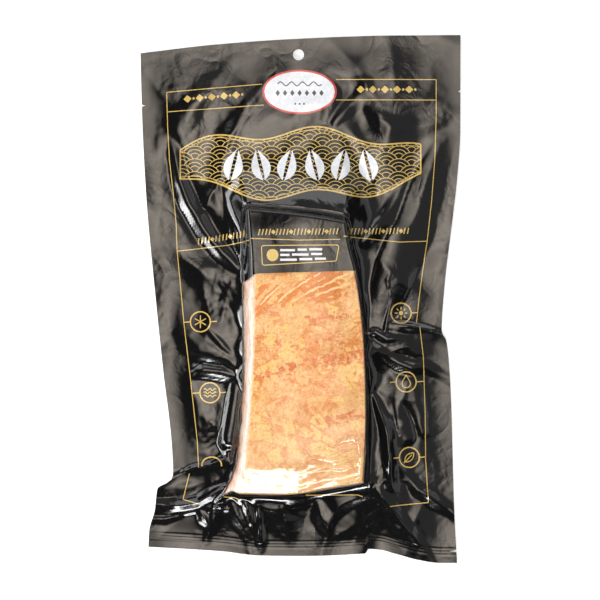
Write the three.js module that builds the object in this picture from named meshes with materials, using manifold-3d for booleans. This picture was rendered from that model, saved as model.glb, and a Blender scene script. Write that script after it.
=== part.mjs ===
// Vacuum pack of smoked salmon, lying on its back: a black printed pouch of two films, sealed all round,
// the fillet inside it, and the clear window through which most of the fillet shows.
// Millimetres, +Z up, +Y towards the hang hole. The origin is under the middle of the pack.
import * as THREE from 'three';
import { mergeVertices } from 'three/addons/utils/BufferGeometryUtils.js';
import Module from 'manifold-3d';

const wasm = await Module();
wasm.setup();

// ---------- Driving dimensions ----------
const FILM = 0.8; // both films pressed together, with the print and the seal
const SKIN = 0.5; // the front film alone, where it is drawn over the fillet
const GAP = 0.3; // clearance between pieces that touch
const FILLET_BASE = FILM; // underside of the fillet, clear of the back film
const FILLET_THICK = 17.6; // mean thickness of the fillet
const HANG_HOLE = { x: -1.1, y: 134.2, radius: 3.05, sides: 20 };
const TEAR_NOTCHES = [
  // tip x, y and the mouth's x, y and half width
  { tip: [-85.2, 106.2], mouth: [-90, 106.2], half: 1.4 },
  { tip: [86.5, 114.1], mouth: [91, 114.1], half: 2.2 },
  { tip: [81.5, -138.6], mouth: [90, -138.2], half: 1.1 },
];
const POUCH_CELLS = { across: 46, along: 76 };
const FILLET_CELLS = { across: 15, along: 34 };

// ---------- Outline of the pouch: [place along the side, place of the edge] ----------
const LEFT_EDGE = [[-136, -83.5], [-127, -83], [-116, -80], [-104, -78.5], [-99.5, -71], [-96, -70],
  [-83, -70.5], [-39, -75.5], [10, -80.5], [54, -84.5], [98, -86.9], [135, -87.9]];
const RIGHT_EDGE = [[-145, 86], [-116, 84.5], [-99.5, 84], [-61, 83], [-33.5, 81.5], [-22.5, 80],
  [-18, 77.6], [5, 79], [43.5, 83.5], [65, 86], [93, 87.8], [145, 87.9]];
const BOTTOM_EDGE = [[-83.5, -136], [-44.5, -138.5], [-21, -141], [-0.5, -141.2], [35.5, -139.8],
  [37.5, -137.2], [43.5, -137.6], [52.5, -140], [65.5, -143.5], [76.5, -145], [86, -145]];
const TOP_EDGE = [[-87.9, 135], [-44.5, 140], [-0.5, 143], [43.5, 144.6], [87.9, 145]];

// ---------- Plan of the fillet: its foot on the back film and the rim of its upper face ----------
const FOOT_LEFT = [[-110, -44.6], [-103.5, -40.6], [-97, -37.4], [-91, -35.4], [-77, -33.5], [-34, -31.2],
  [10, -31.5], [56, -31.5]];
const RIM_LEFT = [[-109, -34], [-101, -31.5], [-93, -29.8], [-60, -27], [-17, -24.8], [12, -24.6], [56, -28]];
const RIM_RIGHT = [[-101, 33], [-77, 34.6], [-60, 35], [-27, 34], [-8, 32.4], [16, 28.6], [30, 25],
  [42, 23.2], [50, 22]];
const FOOT_RIGHT = [[-101, 37.4], [-77, 37.4], [-27, 36.2], [-1, 33.6], [16, 31.4], [30, 28.4], [42, 27],
  [50, 26]];
const FOOT_BOTTOM = [[-45, -110], [-41, -107.6], [-37.5, -106], [-33, -107.4], [-8, -107.8], [16, -104.5],
  [38, -101]];
const RIM_BOTTOM = [[-45, -107], [-41, -105.2], [-37.5, -103.8], [-33, -105.2], [-8, -105.6], [16, -101.8],
  [38, -98.2]];
const RIM_TOP = [[-32, 47.6], [-8, 45.5], [17, 42], [34, 38]];
const FOOT_TOP = [[-32, 53], [-8, 51], [20, 47.5], [34, 43.5]];
const WINDOW_TOP = 14.6; // the clear window starts here, below the printed upper part
const WINDOW_SLOPE = 0.03;
const WINDOW_CORNER = 4.2; // how much lower it starts on the pale flank, at the left

// ---------- Folds of the film ----------
// A ridge has a sharp crest, a roof even slopes, a tube a round back, a band a narrow back over even slopes,
// and a swell rises softly. Left and right are the half widths on either side of the run. Each point of a run
// is x, y and a size, which scales the height there, and the widths in part.
const FOLDS = [
  { kind: 'swell', height: 1.3, left: 9, right: 10, run: [[-36, 132.5, 0.2], [-47, 120, 0.8], [-60, 104, 1],
    [-72, 90.5, 0.8], [-80, 80, 0.1]] },
  { kind: 'swell', height: 1.4, left: 8, right: 8, run: [[-19, 118.5, 0.3], [-29, 106, 0.9], [-36, 94, 1],
    [-39, 82, 0.7], [-38, 70, 0.1]] },
  { kind: 'band', height: 3.2, left: 5.5, right: 6, run: [[-72.5, 90, 0.2], [-69, 77.5, 0.6],
    [-66, 64.5, 0.8], [-60.5, 51.5, 1], [-52.5, 38, 1], [-43, 25.5, 0.95], [-34.5, 17, 0.8],
    [-28, 10.5, 0.4]] },
  { kind: 'tube', height: 2.9, left: 4.75, right: 4.75, run: [[-46.5, 64.5, 0.1], [-40.5, 51.5, 0.6],
    [-36, 39, 0.9], [-32, 26, 1], [-29.5, 14, 0.8]] },
  { kind: 'ridge', height: 2.3, left: 4, right: 5.5, run: [[-29.5, 50, 0.6], [-33.5, 42.5, 0.9],
    [-35, 32.5, 0.8], [-33.5, 20.5, 0.3]] },
  { kind: 'swell', height: 1.5, left: 8, right: 9, run: [[34, 106, 0.1], [42.5, 100, 0.6],
    [50.5, 94.5, 0.9], [65.5, 94.5, 0.8], [76.5, 98, 0.6], [84, 105, 0.1]] },
  { kind: 'ridge', height: 1.2, left: 3.5, right: 4, run: [[33, 107, 0.2], [40, 103, 0.8], [46, 98, 1],
    [51.5, 88, 0.2]] },
  { kind: 'swell', height: 1.8, left: 9, right: 7, run: [[36, 118.5, 0.2], [28.5, 107.5, 0.9],
    [18.5, 96.5, 0.8], [15, 84, 0.1]] },
  { kind: 'swell', height: 1.4, left: 8, right: 9, run: [[11, 124, 0.2], [17, 112, 0.9], [13, 98, 0.8],
    [4, 90, 0.1]] },
  { kind: 'tube', height: 2.5, left: 12, right: 12, run: [[80, 87.5, 0.1], [71, 65.5, 0.7], [63, 40.5, 0.9],
    [54, 20.5, 1], [45.5, 1.5, 0.8], [37.5, -15, 0.5]] },
  { kind: 'ridge', height: 2.7, left: 4.25, right: 3.25, run: [[59, 31, 0.1], [51.5, 20.5, 0.8],
    [47, 10, 1], [50, -0.5, 0.8], [46, -17, 0.6]] },
  { kind: 'swell', height: 2.2, left: 8, right: 7, run: [[56, 63.5, 0.1], [46, 44.5, 0.8], [34, 31.5, 0.9],
    [25.5, 20.5, 0.5]] },
  { kind: 'swell', height: 2.3, left: 6, right: 7, run: [[24.5, 40, 0.7], [28.5, 51, 0.9], [35, 62, 0.5],
    [41.5, 71, 0.1]] },
  { kind: 'swell', height: 1.2, left: 7.5, right: 9, run: [[-71, -17, 0.1], [-62, -23, 0.7],
    [-53, -29.5, 1], [-43, -35, 0.9], [-31.5, -38, 0.6]] },
  { kind: 'band', height: 2.55, left: 4, right: 5.8, run: [[-61.5, -42, 0.1], [-53.5, -39, 0.9],
    [-43, -40, 1], [-35.5, -42, 0.6], [-30.5, -42.5, 0.2]] },
  { kind: 'ridge', height: 1.4, left: 3.75, right: 3.75, run: [[-52.5, -15.5, 0.1], [-42.5, -26, 0.8],
    [-32.5, -34, 0.4]] },
  { kind: 'tube', height: 4.5, left: 6.5, right: 6.5, run: [[-34.5, -43.5, 0.3], [-36, -53.5, 0.6],
    [-37.5, -66.5, 0.85], [-39, -77.5, 1.1], [-39, -84, 0.5], [-39, -86.5, 0.1]] },
  { kind: 'ridge', height: 2.2, left: 1.75, right: 13.5, run: [[-79, -103, 0.7], [-69.5, -98, 0.9],
    [-59, -93, 1], [-50, -91, 1], [-41, -87.5, 1], [-33.5, -83, 0.5]] },
  { kind: 'roof', height: 3.1, left: 4.5, right: 7, run: [[-84.5, -112.5, 0.9], [-72.5, -114, 1],
    [-63.5, -113.5, 0.9], [-56.5, -112, 0.9], [-50, -108.5, 0.9], [-42, -103.5, 0.7], [-35.5, -99, 0.3]] },
  { kind: 'ridge', height: 1.8, left: 3, right: 4.5, run: [[-83, -121, 0.7], [-74.5, -121.5, 0.9],
    [-65, -119, 0.2]] },
  { kind: 'roof', height: 2, left: 3, right: 4.6, run: [[-57, -114, 0.3], [-53, -120.5, 1],
    [-49, -127, 0.3]] },
  { kind: 'ridge', height: 2.3, left: 2.5, right: 3, run: [[-52, -117.5, 0.2], [-46.5, -114, 1],
    [-37.5, -116.5, 0.3]] },
  { kind: 'roof', height: 2.3, left: 3.6, right: 4.4, run: [[-31.8, -108.5, 0.6], [-29.7, -114.5, 1],
    [-26.7, -123.2, 1], [-24.7, -130.5, 0.4]] },
  { kind: 'roof', height: 2.3, left: 3.4, right: 4.2, run: [[-24.3, -112.5, 0.6], [-22.8, -120, 1],
    [-21.3, -133.5, 1.2], [-20.8, -138.5, 0.4]] },
  { kind: 'ridge', height: 2, left: 6, right: 6, run: [[-40, -107.5, 0.4], [-35.5, -119, 0.9],
    [-28, -131.5, 0.5], [-24.5, -137, 0.1]] },
  { kind: 'ridge', height: 1.8, left: 6, right: 4.5, run: [[-44.5, -110.5, 0.3], [-48.5, -121.5, 0.9],
    [-52, -132.5, 0.4]] },
  { kind: 'ridge', height: 1.6, left: 9, right: 9, run: [[47, -109.5, 0.5], [36, -118.5, 0.9],
    [25, -127, 0.8], [15, -133.5, 0.2]] },
  { kind: 'ridge', height: 1.3, left: 7.5, right: 8, run: [[47, -110.5, 0.5], [39.5, -121.5, 0.9],
    [30.5, -135.5, 0.3]] },
  { kind: 'ridge', height: 2.2, left: 7.5, right: 7.5, run: [[8.5, -107.5, 0.5], [10.5, -119, 0.9],
    [16, -131.5, 0.2]] },
  { kind: 'ridge', height: 2.2, left: 7.5, right: 7.5, run: [[-11.5, -110.5, 0.4], [-8, -122.5, 0.8],
    [-4.5, -135, 0.2]] },
  { kind: 'ridge', height: 1.9, left: 4.75, right: 8.5, run: [[35, -95, 0.3], [43.5, -105.5, 0.8],
    [54, -119.5, 1], [61.5, -130.5, 1], [68.5, -139.5, 0.7], [72.5, -144.5, 0.3]] },
  { kind: 'roof', height: 2.4, left: 4.5, right: 5.4, run: [[53.5, -89.5, 0.1], [64.5, -104, 0.8],
    [74, -110.5, 1], [86.5, -120, 0.9]] },
  { kind: 'ridge', height: 1.7, left: 6.75, right: 7, run: [[48, -112, 0.3], [54.5, -126, 0.9],
    [62.5, -138, 0.6]] },
  { kind: 'band', height: 2.5, left: 4.5, right: 5, run: [[34, -19, 0.7], [40.5, -17.5, 1],
    [47.5, -21.5, 0.9], [58, -21, 0.5], [67, -17, 0.2]] },
  { kind: 'ridge', height: 2.7, left: 2.5, right: 9, run: [[49, -13, 0.4], [58, -14, 0.9], [68, -16, 1],
    [79.5, -19, 0.9]] },
  { kind: 'band', height: 2.5, left: 4.5, right: 4.75, run: [[43.5, -29, 0.2], [53.5, -35, 0.9],
    [61.5, -38, 1], [68, -37, 0.8], [75.5, -40.5, 0.7], [83.5, -44.5, 0.5]] },
  { kind: 'ridge', height: 3.1, left: 5.5, right: 5.5, run: [[36, -43.5, 0.3], [41.5, -55.5, 0.8],
    [46.5, -72, 1], [49, -88.5, 1], [50, -102, 0.6]] },
  { kind: 'tube', height: 2.2, left: 5.25, right: 5.25, run: [[53, -56.5, 0.1], [57, -69.5, 0.9],
    [59, -76.5, 0.8], [53.5, -80, 0.2]] },
  { kind: 'swell', height: 1.8, left: 8, right: 8, run: [[61.5, -40, 0.1], [63.5, -55.5, 0.8],
    [68, -73, 0.3]] },
];

// The rounded folds keep the film round them taut, so the pouch buckles less there.
const CALM_REACH = 2.2; // how much wider than the fold itself that place is
const CALM_PLACES = FOLDS.filter(({ kind }) => kind === 'tube' || kind === 'band').map((fold) => (
  { ...fold, kind: 'swell', height: 1, left: CALM_REACH * fold.left, right: CALM_REACH * fold.right }));

// ---------- Curves ----------
const clamp = (value, low, high) => Math.min(Math.max(value, low), high);
const lerp = (a, b, t) => a + (b - a) * t;
const smooth = (value, low, high) => THREE.MathUtils.smoothstep(value, low, high);

// A smooth curve through the knots that never swings past them.
function curve(knots) {
  const slopes = knots.slice(1).map((knot, i) => (knot[1] - knots[i][1]) / (knot[0] - knots[i][0]));
  const tangents = knots.map((_, i) => {
    const before = slopes[Math.max(i - 1, 0)];
    const after = slopes[Math.min(i, slopes.length - 1)];
    return before * after <= 0 ? 0 : (2 * before * after) / (before + after);
  });
  return (place) => {
    const at = clamp(place, knots[0][0], knots[knots.length - 1][0]);
    let i = 0;
    while (i < knots.length - 2 && at > knots[i + 1][0]) i++;
    const span = knots[i + 1][0] - knots[i][0];
    const t = (at - knots[i][0]) / span;
    const start = (1 + 2 * t) * (1 - t) ** 2 * knots[i][1] + t * t * (3 - 2 * t) * knots[i + 1][1];
    return start + span * t * (1 - t) * ((1 - t) * tangents[i] - t * tangents[i + 1]);
  };
}

const leftEdge = curve(LEFT_EDGE);
const rightEdge = curve(RIGHT_EDGE);
const bottomEdge = curve(BOTTOM_EDGE);
const topEdge = curve(TOP_EDGE);
const footLeft = curve(FOOT_LEFT);
const rimLeft = curve(RIM_LEFT);
const rimRight = curve(RIM_RIGHT);
const footRight = curve(FOOT_RIGHT);
const footBottom = curve(FOOT_BOTTOM);
const rimBottom = curve(RIM_BOTTOM);
const rimTop = curve(RIM_TOP);
const footTop = curve(FOOT_TOP);

// The point where a line that runs along the pack meets one that runs across it.
function crossing(lineAcross, lineAlong) {
  let x = 0;
  let y = 0;
  for (let pass = 0; pass < 12; pass++) {
    x = lineAcross(y);
    y = lineAlong(x);
  }
  return [x, y];
}

// ---------- Heights ----------
// The left seal curls up off the table, the film droops to the right seal, and the ends curl a little.
function lift(x, y) {
  const left = 2.6 * clamp((-x - 45) / 43, 0, 1) ** 2 * (1 - 0.7 * smooth(y, 60, 110));
  const right = 1.4 * smooth(x, 28, 44) * (1 - smooth(x, 44, 68));
  const top = smooth(y, 78, 146);
  const bottom = 1.4 * smooth(-y, 116, 146);
  return (left + right) * (1 + 0.3 * Math.sin(y / 27)) + top + bottom;
}

// The whole pouch buckles in broad facets that meet in crests, less in the seals and at the top.
function wave(x, y) {
  const slant = Math.sin(x / 12 + 1.5 * Math.sin(y / 26 + 1) + y / 60);
  const bend = 1.3 * Math.sin(x / 19 - y / 70) + 1.1 * Math.sin(x / 9 + y / 33);
  const height = 1.65 - 1.5 * Math.abs(0.55 * slant + 0.55 * Math.sin(y / 14 - x / 40 + bend));
  const calm = Math.min(Math.max(...CALM_PLACES.map((fold) => foldHeight(fold, x, y))), 1);
  const share = (0.3 + 0.7 * smooth(edgeDistance(x, y), 4, 34)) * (1 - 0.75 * calm);
  return lerp(1.4, 1.7, smooth(x, -30, 30)) * height * share * (1 - 0.3 * smooth(y, 60, 120));
}

// Height of each kind of fold, from its crest to its foot.
const FOLD_SECTIONS = {
  ridge: (away) => 0.65 * (1 - away) ** 1.3 + 0.35 * smooth(1 - away, 0, 1),
  roof: (away) => 1 - away,
  tube: (away) => (1 - away ** 2) ** 0.7,
  band: (away) => Math.min(1 - 0.25 * away, 1.15 - away, 2 * (1 - away)),
  swell: (away) => smooth(1 - away, 0, 1),
};

// Height of one fold at a point.
function foldHeight(fold, x, y) {
  let best = 0;
  for (let i = 0; i < fold.run.length - 1; i++) {
    const [ax, ay, sizeA] = fold.run[i];
    const [bx, by, sizeB] = fold.run[i + 1];
    const length = Math.hypot(bx - ax, by - ay);
    const dx = (bx - ax) / length;
    const dy = (by - ay) / length;
    const along = clamp((x - ax) * dx + (y - ay) * dy, 0, length);
    const offX = x - ax - dx * along;
    const offY = y - ay - dy * along;
    const size = lerp(sizeA, sizeB, along / length);
    const reach = (0.4 + 0.6 * size) * (dx * offY - dy * offX > 0 ? fold.left : fold.right);
    const away = Math.min(Math.hypot(offX, offY) / reach, 1);
    best = Math.max(best, fold.height * size * FOLD_SECTIONS[fold.kind](away));
  }
  return best;
}

// The film leans on the foot of the fillet in a web that sinks to the table, and above the fillet's upper end
// it hangs in a wider tent.
function web(x, y) {
  const outX = Math.max(footLeft(y) - x, x - footRight(y), 0);
  const outY = Math.max(footBottom(x) - y, y - footTop(x), 0);
  const away = Math.hypot(outX, outY);
  const pleats = 1 + lerp(0.05, 0.3, smooth(y, -112, -98)) * Math.sin(Math.atan2(y + 30, x) * 13);
  const beside = smooth(x - footLeft(y), -16, 4) * smooth(footRight(y) - x, -16, 4);
  const above = smooth(y - footTop(x), -20, 6) * beside;
  return lerp(3.2 * pleats * Math.exp(-away / 3.6), 12.5 * Math.exp(-away / 18), above);
}

function edgeDistance(x, y) {
  return Math.min(x - leftEdge(y), rightEdge(y) - x, y - bottomEdge(x), topEdge(x) - y);
}

// Upper face of the films around the fillet: the folds and the web stand on the buckled pouch.
function filmTop(x, y) {
  const inside = smooth(edgeDistance(x, y), 2, 20);
  const folds = Math.max(...FOLDS.map((fold) => foldHeight(fold, x, y)));
  return lift(x, y) + FILM + wave(x, y) + Math.max(folds * (0.45 + 0.55 * inside), web(x, y));
}

// Upper face of the fillet inside its rim: a low crown, a slanted lower end and slanted seams between flakes.
function filletTop(x, y) {
  const across = clamp((x - rimLeft(y)) / (rimRight(y) - rimLeft(y)), 0, 1);
  const crown = 1.1 * Math.sin(Math.PI * across) + 0.9 * across;
  const past = -y - 91 + 2 * smooth(x, -6, 6); // how far past the place where the lower end starts to slant
  const slant = 0.5 * (past + Math.sqrt(past * past + 1)) * lerp(0.36, 0.27, smooth(x, -7, 8));
  const upperEnd = 0.9 * smooth(y, 36, 52);
  const flakes = 0.3 * Math.sin((y - 0.35 * x) / 5.2) + 0.2 * Math.sin((x + 0.2 * y) / 6.1);
  return FILLET_THICK + crown - slant - upperEnd + flakes;
}

// ---------- Solids ----------
function solidFrom(positions, indices) {
  const geometry = new THREE.BufferGeometry();
  geometry.setAttribute('position', new THREE.Float32BufferAttribute(positions, 3));
  geometry.setIndex(indices);
  return toManifold(geometry);
}

function toManifold(geometry) {
  geometry.deleteAttribute('normal');
  geometry.deleteAttribute('uv');
  const merged = mergeVertices(geometry, 1e-4);
  return new wasm.Manifold(new wasm.Mesh({
    numProp: 3,
    vertProperties: merged.attributes.position.array,
    triVerts: Uint32Array.from(merged.index.array),
  }));
}

// A closed block: a grid of points above, upright sides, and a flat floor of faces round its middle.
function gridBlock(columns, rows, pointAt, floor) {
  const positions = [];
  for (let j = 0; j <= rows; j++) {
    for (let i = 0; i <= columns; i++) positions.push(...pointAt(i, j));
  }
  const at = (i, j) => j * (columns + 1) + i;
  const faces = [];
  for (let j = 0; j < rows; j++) {
    for (let i = 0; i < columns; i++) {
      faces.push(at(i, j), at(i + 1, j), at(i + 1, j + 1), at(i, j), at(i + 1, j + 1), at(i, j + 1));
    }
  }
  const rim = [];
  for (let i = 0; i < columns; i++) rim.push(at(i, 0));
  for (let j = 0; j < rows; j++) rim.push(at(columns, j));
  for (let i = columns; i > 0; i--) rim.push(at(i, rows));
  for (let j = rows; j > 0; j--) rim.push(at(0, j));
  const first = positions.length / 3;
  const centre = first + rim.length;
  rim.forEach((k) => positions.push(positions[3 * k], positions[3 * k + 1], floor));
  positions.push(...pointAt(Math.round(columns / 2), Math.round(rows / 2)).slice(0, 2), floor);
  rim.forEach((above, k) => {
    const next = (k + 1) % rim.length;
    faces.push(first + k, first + next, rim[next], first + k, rim[next], above);
    faces.push(centre, first + next, first + k);
  });
  return solidFrom(positions, faces);
}

// The body of the pouch: a fine folded upper face over a coarse underside.
function pouchBody() {
  const { across, along } = POUCH_CELLS;
  const pointAt = (i, j) => {
    const [x, y] = crossing(
      (v) => lerp(leftEdge(v), rightEdge(v), i / across),
      (u) => lerp(bottomEdge(u), topEdge(u), j / along),
    );
    return [x, y, filmTop(x, y)];
  };
  const folded = gridBlock(across, along, pointAt, -8);
  return folded.intersect(aboveUnderside());
}

// Everything above the underside: level under the fillet, so the pack rests flat, and curled at the seals.
// It is made upside down, as a block under the mirrored underside, and turned over.
function aboveUnderside() {
  const xs = [-96, -84, -75, -66, -57, -48, 0, 48, 57, 66, 75, 84, 96];
  const ys = [152, 138, 126, 114, 102, 90, 78, 0, -60, -116, -128, -140, -152];
  const ceiling = 60;
  const pointAt = (i, j) => [xs[i], -ys[j], -lift(xs[i], ys[j])];
  return gridBlock(xs.length - 1, ys.length - 1, pointAt, -ceiling).rotate([180, 0, 0]);
}

// How the fillet rises from its foot to its rim: [share of the way in, share of the height].
const SIDE_STEPS = [[0, 0], [0.26, 0.5], [0.6, 0.85], [1, 1]];

function stepsAcross(cells) {
  const sides = SIDE_STEPS.length - 1;
  const list = SIDE_STEPS.map(([place, height]) => ({ zone: 0, place, height }));
  const middle = cells - 2 * sides;
  for (let i = 1; i < middle; i++) list.push({ zone: 1, place: i / middle, height: 1 });
  SIDE_STEPS.slice().reverse().forEach(([place, height]) => list.push({ zone: 2, place: 1 - place, height }));
  return list;
}

// A guide line between the foot and rim curves, all moved outwards by grow.
function guide(step, curves, grow) {
  const [footLow, rimLow, rimHigh, footHigh] = curves;
  if (step.zone === 0) return (v) => lerp(footLow(v) - grow, rimLow(v) - grow, step.place);
  if (step.zone === 1) return (v) => lerp(rimLow(v) - grow, rimHigh(v) + grow, step.place);
  return (v) => lerp(rimHigh(v) + grow, footHigh(v) + grow, step.place);
}

// The fillet, or with grow the space around it: the cavity, or the outside of the film drawn over it.
function filletBlock(grow, floor) {
  const columns = stepsAcross(FILLET_CELLS.across);
  const rows = stepsAcross(FILLET_CELLS.along);
  const acrossGuides = columns.map((step) => guide(step, [footLeft, rimLeft, rimRight, footRight], grow));
  const alongGuides = rows.map((step) => guide(step, [footBottom, rimBottom, rimTop, footTop], grow));
  const wall = 1.2; // upright part of the side, at the foot
  const pointAt = (i, j) => {
    const [x, y] = crossing(acrossGuides[i], alongGuides[j]);
    const foot = FILLET_BASE + wall;
    const rise = columns[i].height * rows[j].height;
    return [x, y, lerp(foot, filletTop(x, y) + FILLET_BASE, rise) + grow];
  };
  return gridBlock(columns.length - 1, rows.length - 1, pointAt, floor);
}

// Upright block over the clear window, from a height low on the fillet's side; inset leaves the clearance.
function windowBlock(inset, floor) {
  const top = (x) => WINDOW_TOP + WINDOW_SLOPE * x - WINDOW_CORNER * smooth(-x, 23.5, 31.5) - inset;
  const left = (y) => footLeft(y) - 0.25 + inset;
  const right = (y) => rimRight(y) + 1.1 - inset;
  const bottom = (x) => footBottom(x) + 1.2 + inset;
  const columns = 12;
  const rows = 16;
  const pointAt = (i, j) => {
    const [x, y] = crossing(
      (v) => lerp(left(v), right(v), i / columns),
      (u) => lerp(bottom(u), top(u), j / rows),
    );
    return [x, y, 40];
  };
  return gridBlock(columns, rows, pointAt, floor);
}

function hangHole() {
  const hole = new THREE.CylinderGeometry(HANG_HOLE.radius, HANG_HOLE.radius, 20, HANG_HOLE.sides);
  hole.rotateX(Math.PI / 2);
  hole.translate(HANG_HOLE.x, HANG_HOLE.y, 0);
  return toManifold(hole);
}

function tearNotch({ tip, mouth, half }) {
  const outline = new THREE.Shape([
    new THREE.Vector2(tip[0], tip[1]),
    new THREE.Vector2(mouth[0], mouth[1] + half),
    new THREE.Vector2(mouth[0], mouth[1] - half),
  ]);
  const cutter = new THREE.ExtrudeGeometry(outline, { depth: 20, bevelEnabled: false });
  cutter.translate(0, 0, -10);
  return toManifold(cutter);
}

// ---------- The pieces ----------
const drawnFilm = filletBlock(GAP + SKIN, FILM / 4);
const cavity = filletBlock(GAP, FILLET_BASE - GAP);
const holes = [hangHole(), ...TEAR_NOTCHES.map(tearNotch)];
const envelope = pouchBody().add(drawnFilm).subtract(cavity);
const windowFoot = FILLET_BASE + 1.6;
const windowSolid = envelope.intersect(windowBlock(GAP, windowFoot + GAP));
let pouchSolid = envelope.subtract(windowBlock(0, windowFoot));
holes.forEach((hole) => { pouchSolid = pouchSolid.subtract(hole); });
const filletSolid = filletBlock(0, FILLET_BASE);

const blackFilm = new THREE.MeshStandardMaterial({ color: 0x17161a, roughness: 0.22, metalness: 0 });
const clearFilm = new THREE.MeshStandardMaterial({
  color: 0xf4f4f2, roughness: 0.08, metalness: 0, transparent: true, opacity: 0.2,
});
const smokedFish = new THREE.MeshStandardMaterial({ color: 0xe7a560, roughness: 0.5, metalness: 0 });

function toMesh(name, solid, material) {
  const mesh = solid.getMesh();
  const geometry = new THREE.BufferGeometry();
  geometry.setAttribute('position', new THREE.BufferAttribute(Float32Array.from(mesh.vertProperties), 3));
  geometry.setIndex(new THREE.BufferAttribute(Uint32Array.from(mesh.triVerts), 1));
  geometry.computeVertexNormals();
  const piece = new THREE.Mesh(geometry, material);
  piece.name = name;
  return piece;
}

const pack = new THREE.Group();
pack.name = 'smoked_salmon_pack';
pack.add(toMesh('pouch', pouchSolid, blackFilm));
pack.add(toMesh('salmon_fillet', filletSolid, smokedFish));
pack.add(toMesh('window_film', windowSolid, clearFilm));

export default pack;
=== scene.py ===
# %% [markdown]
# # A vacuum pack of smoked salmon
# A portion of fish lies in a flat pouch of two plastic films. The back film is plain black. The front film
# is printed black and gold, with a window left clear. The air is drawn out, so both films press on the
# fillet and on each other, and the spare film round the fillet stands up in folds. The seals round the edge
# stay flat.

# %% Load the frame
import math
import random
from contextlib import contextmanager

import bpy
import numpy as np
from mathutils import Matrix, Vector, noise


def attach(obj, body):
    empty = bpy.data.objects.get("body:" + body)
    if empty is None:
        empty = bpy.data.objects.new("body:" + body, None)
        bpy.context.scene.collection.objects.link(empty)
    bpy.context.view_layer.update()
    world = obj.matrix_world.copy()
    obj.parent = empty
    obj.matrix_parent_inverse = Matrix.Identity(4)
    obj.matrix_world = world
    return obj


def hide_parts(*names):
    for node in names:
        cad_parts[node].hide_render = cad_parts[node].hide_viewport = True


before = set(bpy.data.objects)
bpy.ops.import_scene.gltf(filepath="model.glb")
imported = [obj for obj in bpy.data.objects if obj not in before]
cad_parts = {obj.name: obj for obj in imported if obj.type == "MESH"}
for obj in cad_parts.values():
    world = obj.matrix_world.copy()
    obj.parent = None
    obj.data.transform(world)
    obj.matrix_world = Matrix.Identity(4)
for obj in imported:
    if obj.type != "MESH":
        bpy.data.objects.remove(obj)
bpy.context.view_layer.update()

print("nodes:", sorted(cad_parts))

# %% [markdown]
# ## Sizes
# Everything below is worked out in millimetres, as on a drawing, and made metres when it becomes a mesh.
# The edges of the pouch and the plan of the fillet are smooth curves through a few measured knots.

# %% Units and small helpers
MM = 0.001
PRESSED = 0.3  # both films where they are sealed together
FILM = 0.8  # both films and what lies between them, inside the seals
DRAWN = 0.8  # how far the drawn film's outer face stands off the fillet
FILM_WALL = 0.12  # thickness of one film
FILLET_BASE = 0.8
FILLET_THICK = 17.6
FISH_WALL = 1.2  # upright part of the fillet's side, at its foot


def curve(knots):
    """A smooth curve through the knots that never swings past them, for single values and for arrays."""
    at, value = (np.array(column, float) for column in zip(*knots))
    slopes = np.diff(value) / np.diff(at)
    before = np.concatenate([slopes[:1], slopes])
    after = np.concatenate([slopes, slopes[-1:]])
    both = before * after
    total = np.where(both > 0, before + after, 1.0)
    tangent = np.where(both > 0, 2 * both / total, 0.0)

    def read(place):
        p = np.clip(place, at[0], at[-1])
        i = np.clip(np.searchsorted(at, p) - 1, 0, len(at) - 2)
        span = at[i + 1] - at[i]
        t = (p - at[i]) / span
        level = (1 + 2 * t) * (1 - t) ** 2 * value[i] + t * t * (3 - 2 * t) * value[i + 1]
        return level + span * t * (1 - t) * ((1 - t) * tangent[i] - t * tangent[i + 1])

    return read


def smooth(value, low, high):
    t = np.clip((value - low) / (high - low), 0, 1)
    return t * t * (3 - 2 * t)


def lerp(a, b, t):
    return a + (b - a) * t


def ripple(x, y, size, seed):
    """Even noise from about -1 to 1, with bumps about one size across. Each seed gives another pattern."""
    points = zip((x / size).ravel(), (y / size).ravel())
    return np.array([noise.noise(Vector((a, b, seed))) for a, b in points]).reshape(x.shape)


def crest(value, sharpness=2.2):
    """Noise folded over at zero: a net of sharp crests, as in creased film."""
    return 1 - np.abs(value) * sharpness


# %% Edges of the pouch and plan of the fillet
left_edge = curve([(-136, -83.5), (-127, -83), (-116, -80), (-104, -78.5), (-99.5, -71), (-96, -70),
                   (-83, -70.5), (-39, -75.5), (10, -80.5), (54, -84.5), (98, -86.9), (135, -87.9)])
right_edge = curve([(-145, 86), (-116, 84.5), (-99.5, 84), (-61, 83), (-33.5, 81.5), (-22.5, 80),
                    (-18, 77.6), (5, 79), (43.5, 83.5), (65, 86), (93, 87.8), (145, 87.9)])
bottom_edge = curve([(-83.5, -136), (-44.5, -138.5), (-21, -141), (-0.5, -141.2), (35.5, -139.8),
                     (37.5, -137.2), (43.5, -137.6), (52.5, -140), (65.5, -143.5), (76.5, -145), (86, -145)])
top_edge = curve([(-87.9, 135), (-44.5, 140), (-0.5, 143), (43.5, 144.6), (87.9, 145)])
foot_left = curve([(-110, -44.6), (-103.5, -40.6), (-97, -37.4), (-91, -35.4), (-77, -33.5), (-34, -31.2),
                   (10, -31.5), (56, -31.5)])
rim_left = curve([(-109, -34), (-101, -31.5), (-93, -29.8), (-60, -27), (-17, -24.8), (12, -24.6), (56, -28)])
rim_right = curve([(-101, 33), (-77, 34.6), (-60, 35), (-27, 34), (-8, 32.4), (16, 28.6), (30, 25),
                   (42, 23.2), (50, 22)])
foot_right = curve([(-101, 37.4), (-77, 37.4), (-27, 36.2), (-1, 33.6), (16, 31.4), (30, 28.4), (42, 27),
                    (50, 26)])
foot_bottom = curve([(-45, -110), (-41, -107.6), (-37.5, -106), (-33, -107.4), (-8, -107.8), (16, -104.5),
                     (38, -101)])
rim_bottom = curve([(-45, -107), (-41, -105.2), (-37.5, -103.8), (-33, -105.2), (-8, -105.6), (16, -101.8),
                    (38, -98.2)])
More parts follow.
